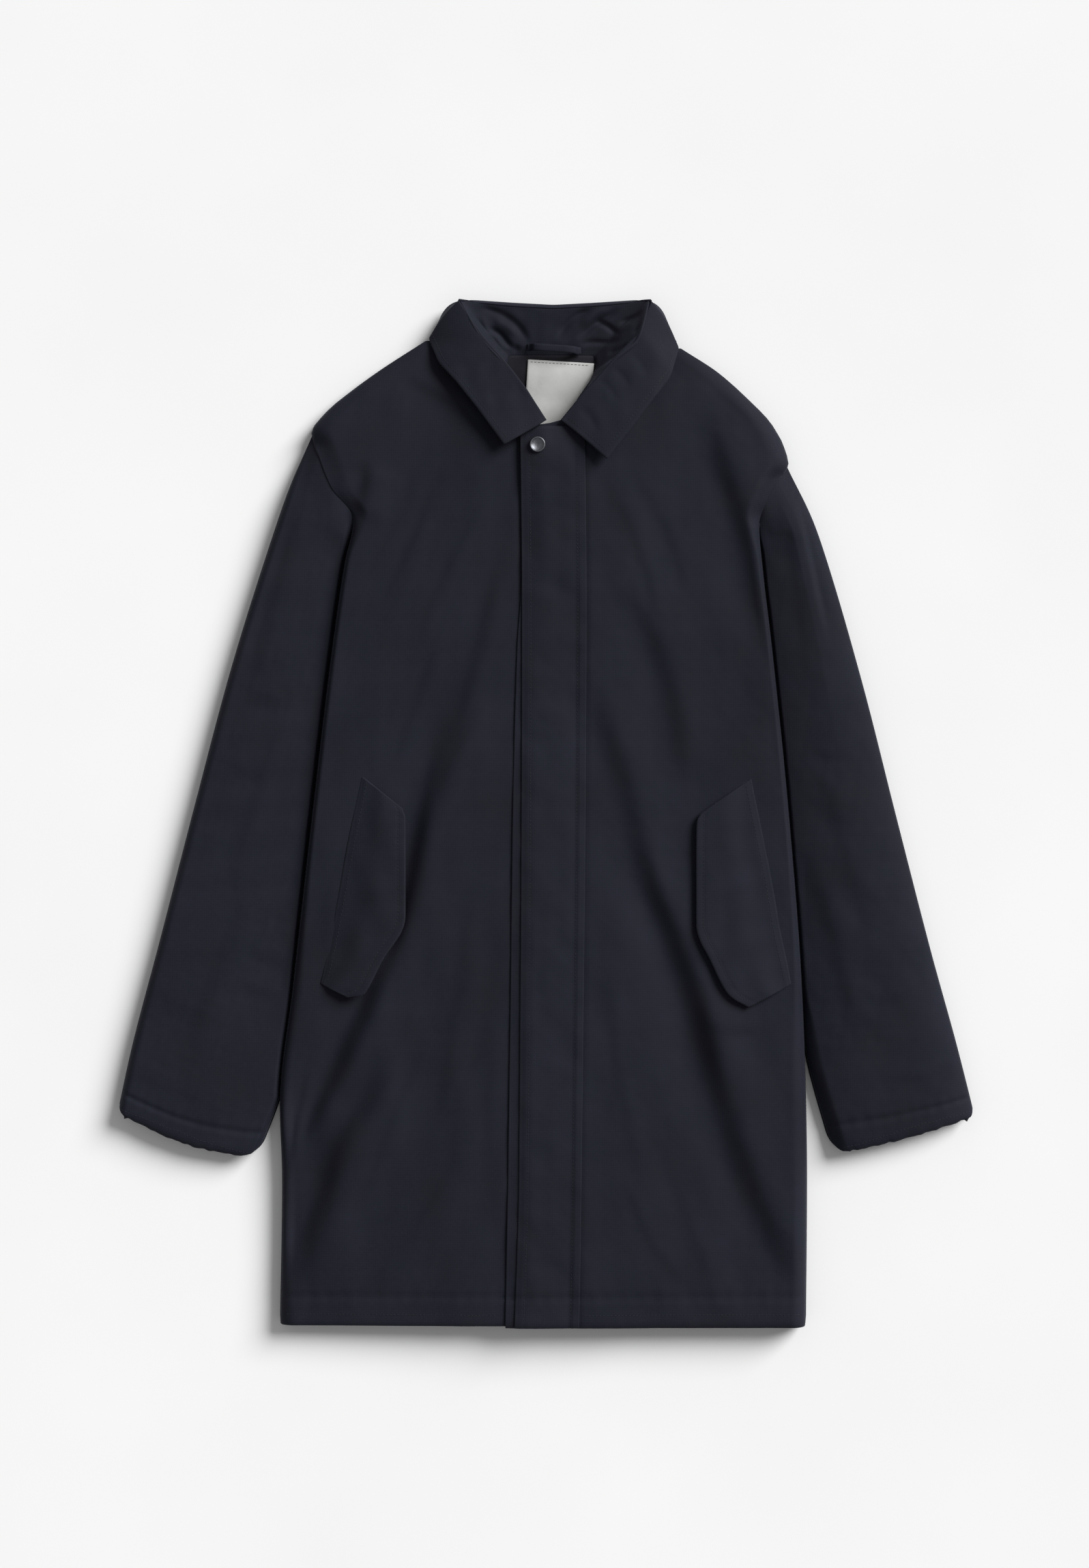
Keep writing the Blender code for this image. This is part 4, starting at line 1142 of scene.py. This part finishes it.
def stitches(name, runs, material):
    """Make the stitches along some runs, each a line of points and the way up at each point."""
    half = STITCH_LENGTH / 2
    spots = []
    for points, up in runs:
        step = np.linalg.norm(np.diff(points, axis=0), axis=1)
        reached = np.concatenate(([0.0], np.cumsum(step)))
        centres = np.arange(STITCH_PITCH / 2, reached[-1] - STITCH_PITCH / 2, STITCH_PITCH)
        middle, ahead, behind, rise = (
            np.stack([np.interp(centres + shift, reached, column) for column in values.T], axis=1)
            for values, shift in ((points, 0), (points, half), (points, -half), (up, 0))
        )
        spots.append((middle, ahead - behind, rise))
    middle, way, rise = (np.concatenate(parts) for parts in zip(*spots))
    way = unit(way)
    rise = unit(rise - np.sum(rise * way, axis=1, keepdims=True) * way)
    across = np.cross(way, rise)
    vertices = []
    for along, girth, lift in STITCH_RINGS:
        for k in range(STITCH_SIDES):
            turn = 2 * math.pi * k / STITCH_SIDES
            offset = across * (math.cos(turn) * girth) + rise * (math.sin(turn) * girth + lift)
            vertices.append(middle + way * (along * half) + offset * STITCH_RADIUS)
    place = np.arange(len(vertices)).reshape(len(STITCH_RINGS), STITCH_SIDES)
    beside = np.roll(place, -1, axis=1)
    faces = np.stack([place[:-1], beside[:-1], beside[1:], place[1:]], axis=-1).reshape(-1, 4)
    start = np.arange(len(middle))[:, None, None] * len(vertices)
    quads = (start + faces).reshape(-1, 4).tolist()
    caps = (start + np.stack([place[0, ::-1], place[-1]])).reshape(-1, STITCH_SIDES).tolist()
    points = np.stack(vertices, axis=1).reshape(-1, 3)
    piece = add_object(name, points, quads + caps, material)
    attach(piece, "root")
    return piece


def stitch_run(x, y, surface):
    """A run of stitches on a surface that is nearly level."""
    points = np.stack([x, y, surface(x, y)], axis=1)
    return points, np.tile((0.0, 0.0, 1.0), (len(points), 1))


def grid_line(points, line, column):
    """A line across a grid at places counted in its lines and columns, with the way up at each place."""
    normal = grid_normals(points)
    if normal[..., 2].mean() < 0:
        normal = -normal
    line = np.clip(line, 0, points.shape[0] - 1.001)
    column = np.clip(column, 0, points.shape[1] - 1.001)
    i = line.astype(int)
    j = column.astype(int)
    u = (line - i)[:, None]
    v = (column - j)[:, None]
    found = []
    for values in (points, normal):
        low = mix(values[i, j], values[i, j + 1], v)
        high = mix(values[i + 1, j], values[i + 1, j + 1], v)
        found.append(mix(low, high, u))
    return tuple(found)


def inset_line(points, inset, from_end, along, ends=(0.0, 1.0)):
    """A line that runs a set distance in from one side of a grid: along its lines, or along its columns."""
    grid = points if along == "lines" else points.transpose(1, 0, 2)
    if from_end:
        grid = grid[:, ::-1]
    step = np.linalg.norm(np.diff(grid, axis=1), axis=2)
    reached = np.concatenate([np.zeros((len(grid), 1)), np.cumsum(step, axis=1)], axis=1)
    column = np.array([np.interp(inset, row, np.arange(len(row))) for row in reached])
    line = np.arange(len(grid), dtype=float)
    kept = slice(int(ends[0] * (len(grid) - 1)), int(ends[1] * (len(grid) - 1)) + 1)
    return grid_line(grid, line[kept], column[kept])


class Nodes:
    """A material's node tree, with short calls for the nodes used here."""

    def __init__(self, name):
        self.material = bpy.data.materials.new(name)
        self.material.use_nodes = True
        self.tree = self.material.node_tree
        self.shader = self.tree.nodes["Principled BSDF"]
        self.place = self.add("ShaderNodeTexCoord").outputs["Object"]

    def add(self, kind, **settings):
        node = self.tree.nodes.new(kind)
        for key, value in settings.items():
            setattr(node, key, value)
        return node

    def link(self, start, end):
        self.tree.links.new(start, end)

    def noise(self, scale, detail=3.0, roughness=0.55, stretch=None):
        node = self.add("ShaderNodeTexNoise")
        node.inputs["Scale"].default_value = scale
        node.inputs["Detail"].default_value = detail
        node.inputs["Roughness"].default_value = roughness
        place = self.place
        if stretch:
            mapping = self.add("ShaderNodeMapping")
            mapping.inputs["Scale"].default_value = stretch
            self.link(place, mapping.inputs["Vector"])
            place = mapping.outputs["Vector"]
        self.link(place, node.inputs["Vector"])
        return node.outputs["Fac"]

    def wave(self, direction, pitch, wander):
        """Threads side by side, one every pitch in metres."""
        node = self.add("ShaderNodeTexWave", wave_type="BANDS", bands_direction=direction)
        node.inputs["Scale"].default_value = math.pi / (10 * pitch)
        node.inputs["Distortion"].default_value = wander
        node.inputs["Detail"].default_value = 1.0
        node.inputs["Detail Scale"].default_value = 0.6
        self.link(self.place, node.inputs["Vector"])
        return node.outputs["Fac"]

    def between(self, factor, low, high, from_low=0.3, from_high=0.7):
        node = self.add("ShaderNodeMapRange")
        for key, value in zip(("From Min", "From Max", "To Min", "To Max"), (from_low, from_high, low, high)):
            node.inputs[key].default_value = value
        self.link(factor, node.inputs["Value"])
        return node.outputs["Result"]

    def colours(self, factor, first, second):
        node = self.add("ShaderNodeMix", data_type="RGBA")
        self.link(factor, node.inputs["Factor"])
        for key, value in (("A", first), ("B", second)):
            socket = [s for s in node.inputs if s.name == key and s.type == "RGBA"][0]
            if isinstance(value, tuple):
                socket.default_value = (*value, 1.0)
            else:
                self.link(value, socket)
        return [s for s in node.outputs if s.type == "RGBA"][0]

    def maths(self, operation, first, second):
        node = self.add("ShaderNodeMath", operation=operation)
        for socket, value in zip(node.inputs, (first, second)):
            if isinstance(value, (int, float)):
                socket.default_value = value
            else:
                self.link(value, socket)
        return node.outputs["Value"]

    def bump(self, height, strength, distance, under=None):
        node = self.add("ShaderNodeBump")
        node.inputs["Strength"].default_value = strength
        node.inputs["Distance"].default_value = distance
        self.link(height, node.inputs["Height"])
        if under is not None:
            self.link(under, node.inputs["Normal"])
        return node.outputs["Normal"]

    def attribute(self, name):
        return self.add("ShaderNodeAttribute", attribute_name=name).outputs["Fac"]

    def set(self, **values):
        for name, value in values.items():
            socket = self.shader.inputs[name.replace("_", " ")]
            if isinstance(value, (int, float)):
                socket.default_value = value
            elif isinstance(value, tuple):
                socket.default_value = (*value, 1.0)
            else:
                self.link(value, socket)


def cloth_material(name, dark, light, worn, roughness, pitch):
    """A tight dark weave with uneven dye, slightly paler where edges rub."""
    nodes = Nodes(name)
    broad = nodes.noise(14.0, 4.0)
    fine = nodes.noise(420.0, 3.0, 0.7)
    tone = nodes.maths("ADD", nodes.between(broad, 0.0, 0.6), nodes.between(fine, 0.0, 0.5))
    warm, cool = (
        nodes.colours(tone, *(tuple(a * b for a, b in zip(ends, tint)) for ends in (dark, light)))
        for tint in (WARM_TINT, COOL_TINT)
    )
    colour = nodes.colours(nodes.between(nodes.noise(22.0, 2.0), 0.0, 1.0, 0.38, 0.62), warm, cool)
    rub = nodes.maths("MULTIPLY", nodes.attribute("wear"), nodes.between(nodes.noise(160.0, 4.0), 0.05, 0.45))
    colour = nodes.colours(rub, colour, worn)
    threads = nodes.maths("ADD", nodes.wave("X", pitch, 1.2), nodes.wave("Y", pitch, 1.2))
    weave = nodes.bump(threads, 0.3, 0.00016)
    crumple = nodes.bump(nodes.noise(70.0, 2.0, 0.4), 0.3, 0.0006, weave)
    nodes.set(
        Base_Color=colour, Roughness=nodes.between(fine, roughness - 0.08, roughness + 0.08), Normal=crumple,
        Specular_IOR_Level=0.09, Sheen_Weight=0.14, Sheen_Roughness=0.30, Sheen_Tint=(0.55, 0.58, 0.75),
    )
    return nodes.material


def label_material():
    """Pale satin tape, bare, with fine ribs across it."""
    nodes = Nodes("label_satin_tape")
    tone = nodes.between(nodes.noise(60.0, 4.0), 0.0, 1.0)
    colour = nodes.colours(tone, (0.51, 0.515, 0.495), (0.575, 0.58, 0.565))
    colour = nodes.colours(nodes.maths("MULTIPLY", nodes.attribute("wear"), 0.35), colour, (0.3, 0.3, 0.3))
    ribs = nodes.bump(nodes.wave("Y", 0.0006, 0.8), 0.25, 0.0001)
    soft = nodes.bump(nodes.noise(70.0, 3.0), 0.2, 0.001, ribs)
    nodes.set(
        Base_Color=colour, Roughness=nodes.between(tone, 0.42, 0.55), Normal=soft,
        Specular_IOR_Level=0.4, Sheen_Weight=0.1, Sheen_Roughness=0.3,
    )
    return nodes.material


def metal_material():
    """Dark plated metal, slightly brushed and dulled."""
    nodes = Nodes("snap_plating")
    smudge = nodes.noise(700.0, 4.0)
    colour = nodes.colours(nodes.between(smudge, 0.0, 1.0), (0.13, 0.134, 0.147), (0.19, 0.195, 0.211))
    brushed = nodes.bump(nodes.noise(2600.0, 3.0), 0.12, 0.0001)
    nodes.set(Base_Color=colour, Metallic=1.0, Roughness=nodes.between(smudge, 0.40, 0.52), Normal=brushed)
    return nodes.material


def thread_material():
    nodes = Nodes("sewing_thread")
    tone = nodes.between(nodes.noise(900.0, 3.0), 0.0, 1.0)
    twist = nodes.bump(nodes.wave("DIAGONAL", 0.0007, 0.5), 0.4, 0.0001)
    nodes.set(
        Base_Color=nodes.colours(tone, (0.009, 0.010, 0.016), (0.016, 0.017, 0.025)), Normal=twist,
        Roughness=nodes.between(tone, 0.5, 0.65), Specular_IOR_Level=0.25, Sheen_Weight=0.05,
    )
    return nodes.material


def floor_material():
    nodes = Nodes("paper_floor")
    tone = nodes.between(nodes.noise(3.0, 3.0), 0.0, 1.0)
    nodes.set(
        Base_Color=nodes.colours(tone, (0.885, 0.885, 0.885), (0.915, 0.915, 0.915)),
        Roughness=nodes.between(nodes.noise(40.0), 0.75, 0.9), Specular_IOR_Level=0.1,
    )
    return nodes.material


def snap_piece(material):
    """The snap's cap: a rim turned round a shallow dish."""
    base = float(placket_surface(np.array([SNAP_X]), np.array([SNAP_Y]))[0]) + SNAP_SEAT
    profile = [(0, -SNAP_FOOT), (SNAP_RADIUS - 0.6, -SNAP_FOOT), (SNAP_RADIUS - 0.1, 0.1), (SNAP_RADIUS, 0.7)]
    for angle in map(math.radians, SNAP_RIM_ANGLES):
        out = SNAP_RADIUS - SNAP_RIM + SNAP_RIM * math.cos(angle)
        profile.append((out, SNAP_RIM_HEIGHT + SNAP_RIM_HEIGHT * math.sin(angle)))
    for share in SNAP_DISH_SHARES:
        profile.append((SNAP_RADIUS * share, SNAP_DISH + SNAP_DISH_RISE * share ** 2))
    bm = bmesh.new()
    points = [bm.verts.new((r * MM, 0, h * MM)) for r, h in profile]
    edges = [bm.edges.new(pair) for pair in zip(points, points[1:])]
    bmesh.ops.spin(
        bm, geom=points + edges, cent=(0, 0, 0), axis=(0, 0, 1), angle=2 * math.pi, steps=SNAP_STEPS,
        use_merge=True,
    )
    bmesh.ops.remove_doubles(bm, verts=bm.verts, dist=0.000005)
    bmesh.ops.recalc_face_normals(bm, faces=bm.faces)
    bmesh.ops.translate(bm, verts=bm.verts, vec=Vector((SNAP_X, SNAP_Y, base)) * MM)
    mesh = bpy.data.meshes.new("snap_cap_turned")
    bm.to_mesh(mesh)
    bm.free()
    piece = smooth_object("snap_cap_turned", mesh, material)
    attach(piece, "root")
    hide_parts("snap_cap")
    return piece


def studio():
    """Floor, light and camera. The camera looks straight down, as the photograph does."""
    bpy.ops.mesh.primitive_plane_add(size=FLOOR_SIZE, location=(0, 0, FLOOR_LEVEL))
    floor = bpy.context.object
    floor.name = "studio_floor"
    floor.data.materials.append(floor_material())
    scene = bpy.context.scene
    scene.view_settings.view_transform = "Standard"
    world = bpy.data.worlds.new("studio_world")
    world.use_nodes = True
    sky = world.node_tree.nodes["Background"].inputs
    sky["Color"].default_value = (1.0, 1.0, 1.0, 1.0)
    sky["Strength"].default_value = WORLD_STRENGTH
    scene.world = world
    lamp = bpy.data.lights.new("key_light", "SUN")
    lamp.angle = math.radians(SUN_SIZE)
    lamp.energy = SUN_ENERGY
    key = bpy.data.objects.new("key_light", lamp)
    azimuth = math.radians(SUN_AZIMUTH)
    height = math.radians(SUN_HEIGHT)
    level = math.cos(height)
    toward = Vector((math.cos(azimuth) * level, math.sin(azimuth) * level, math.sin(height)))
    key.rotation_euler = (-toward).to_track_quat("-Z", "Y").to_euler()
    scene.collection.objects.link(key)
    camera = bpy.data.cameras.new("photo_camera")
    camera.lens = camera.sensor_width * (CAMERA_AT[2] - FACE_LEVEL) / VIEW_HEIGHT
    eye = bpy.data.objects.new("photo_camera", camera)
    eye.location = CAMERA_AT
    scene.collection.objects.link(eye)
    scene.camera = eye


cloth = cloth_material(
    "navy_shell", dark=(0.0111, 0.0115, 0.0176), light=(0.0154, 0.0161, 0.0244), worn=(0.019, 0.020, 0.027),
    roughness=0.72, pitch=0.0009,
)
lining = cloth_material(
    "navy_lining", dark=(0.0135, 0.0132, 0.0175), light=(0.0175, 0.0170, 0.0220), worn=(0.020, 0.020, 0.025),
    roughness=0.6, pitch=0.0006,
)
thread = thread_material()

front = {"right": front_points("right", 100, 270), "left": front_points("left", 130, 270)}
back = back_points()
placket = placket_points()
leaf = leaf_points()
front_left_wall = mix(WALL, EDGE_WALL, near_edge(front["left"][..., 0], front["left"][..., 1]))
leaf_wall = mix(ROLL_WALL, TRIM_WALL, ease((np.arange(leaf.shape[1]) - ROLL_COLUMNS) / ROLL_WALL_COLUMNS))
flap = {side: flap_points(side) for side in OUT}
label = label_points()
sleeves = {}
for side, back_edge in (("right", back[:, 0]), ("left", back[:, -1])):
    sleeves[side, "top"] = sleeve_points(side, front[side][:, 0], 76, 240, under=False)
    sleeves[side, "under"] = sleeve_points(side, back_edge, 30, 120, under=True)

for node, points, wall, material, face_up in (
    ("back", back, WALL, cloth, False),
    ("front_right", front["right"], WALL, cloth, True),
    ("front_left", front["left"], front_left_wall, cloth, True),
    ("placket", placket, placket_wall(placket[..., 0], placket[..., 1]), cloth, True),
    ("collar_leaf", leaf, leaf_wall, cloth, False),
    ("collar_stand", stand_points(), TRIM_WALL, cloth, True),
    ("pocket_flap_right", flap["right"], TRIM_WALL, cloth, True),
    ("pocket_flap_left", flap["left"], TRIM_WALL, cloth, True),
    ("neck_facing", facing_points(), FACING_WALL, lining, True),
    ("neck_label", label, LABEL_WALL, label_material(), True),
    ("hanger_loop", loop_points(), LOOP_WALL, cloth, True),
):
    shell(node, points, wall, material, face_up)
for (side, face), points in sleeves.items():
    node = "sleeve_" + side + "_" + face
    shell(node, points, WALL, cloth, face_up=face == "top")
snap_piece(metal_material())

placket_y = np.linspace(*PLACKET_STITCH_Y, 500)
placket_left, placket_right = placket_sides(placket_y)
for key, name, slot, runs in (
    ("placket", "placket_stitches", "shell_cloth", [
        stitch_run(placket_left + PLACKET_STITCH, placket_y, placket_surface),
        stitch_run(placket_right - PLACKET_STITCH, placket_y, placket_surface),
    ]),
    ("hem", "hem_stitches", "shell_cloth", [
        stitch_run(
            np.linspace(*HEM_STITCH_X[side], 240), np.full(240, HEM_EDGE + HEM_STITCH),
            lambda x, y, side=side: front_surface(side, x, y),
        )
        for side in OUT
    ]),
    ("cuff", "cuff_stitches", "shell_cloth", [
        inset_line(sleeves[side, "top"], CUFF_STITCH, True, "columns", (0.04, 0.96)) for side in OUT
    ]),
    ("leaf", "collar_stitches", "shell_cloth", [
        inset_line(leaf, LEAF_STITCH, True, "lines", (0.01, 0.26)),
        inset_line(leaf, LEAF_STITCH, True, "lines", (0.74, 0.99)),
        inset_line(leaf, LEAF_STITCH, False, "columns", (0.26, 0.92)),
        inset_line(leaf, LEAF_STITCH, True, "columns", (0.26, 0.92)),
    ]),
    *(
        ("flap_" + side, "pocket_flap_" + side + "_stitches", "shell_cloth", [
            inset_line(flap[side], FLAP_LINE_INSET, True, "lines", (0.04, 0.96)),
            inset_line(flap[side], FLAP_SEAM_STITCH, False, "lines", (0.03, 0.97)),
        ])
        for side in OUT
    ),
    ("label", "label_stitches", "label_satin", [
        inset_line(label, LABEL_STITCH, True, "columns", (0.04, 0.96)),
    ]),
):
    stitches(name, runs, thread)

# Width and length of each piece's cut, its flat area, what it lies on and the stitches that go with it.
SheetRow = namedtuple("SheetRow", "node width length area rests_on stitches")
SHEETS = table(
    SheetRow,
    ("back", 0.492, 0.915, 0.3953, "studio_floor", None),
    ("front_right", 0.275, 0.915, 0.2059, "back", "hem"),
    ("front_left", 0.290, 0.912, 0.2266, "back", None),
    ("placket", 0.062, 0.832, 0.0504, "front_left", "placket"),
    ("sleeve_right_top", 0.150, 0.680, 0.0746, "sleeve_right_under", "cuff"),
    ("sleeve_right_under", 0.145, 0.680, 0.0706, "studio_floor", None),
    ("sleeve_left_top", 0.145, 0.655, 0.0671, "sleeve_left_under", None),
    ("sleeve_left_under", 0.140, 0.655, 0.0633, "studio_floor", None),
    ("collar_leaf", 0.072, 0.480, 0.0245, "front_right", "leaf"),
    ("collar_stand", 0.046, 0.330, 0.0083, "back", None),
    ("pocket_flap_right", 0.068, 0.205, 0.0099, "front_right", "flap_right"),
    ("pocket_flap_left", 0.082, 0.205, 0.0122, "front_left", "flap_left"),
    ("neck_facing", 0.124, 0.102, 0.0111, "back", None),
    ("neck_label", 0.061, 0.072, None, "neck_facing", "label"),
    ("hanger_loop", 0.016, 0.062, 0.00034, "collar_stand", None),
)
studio()
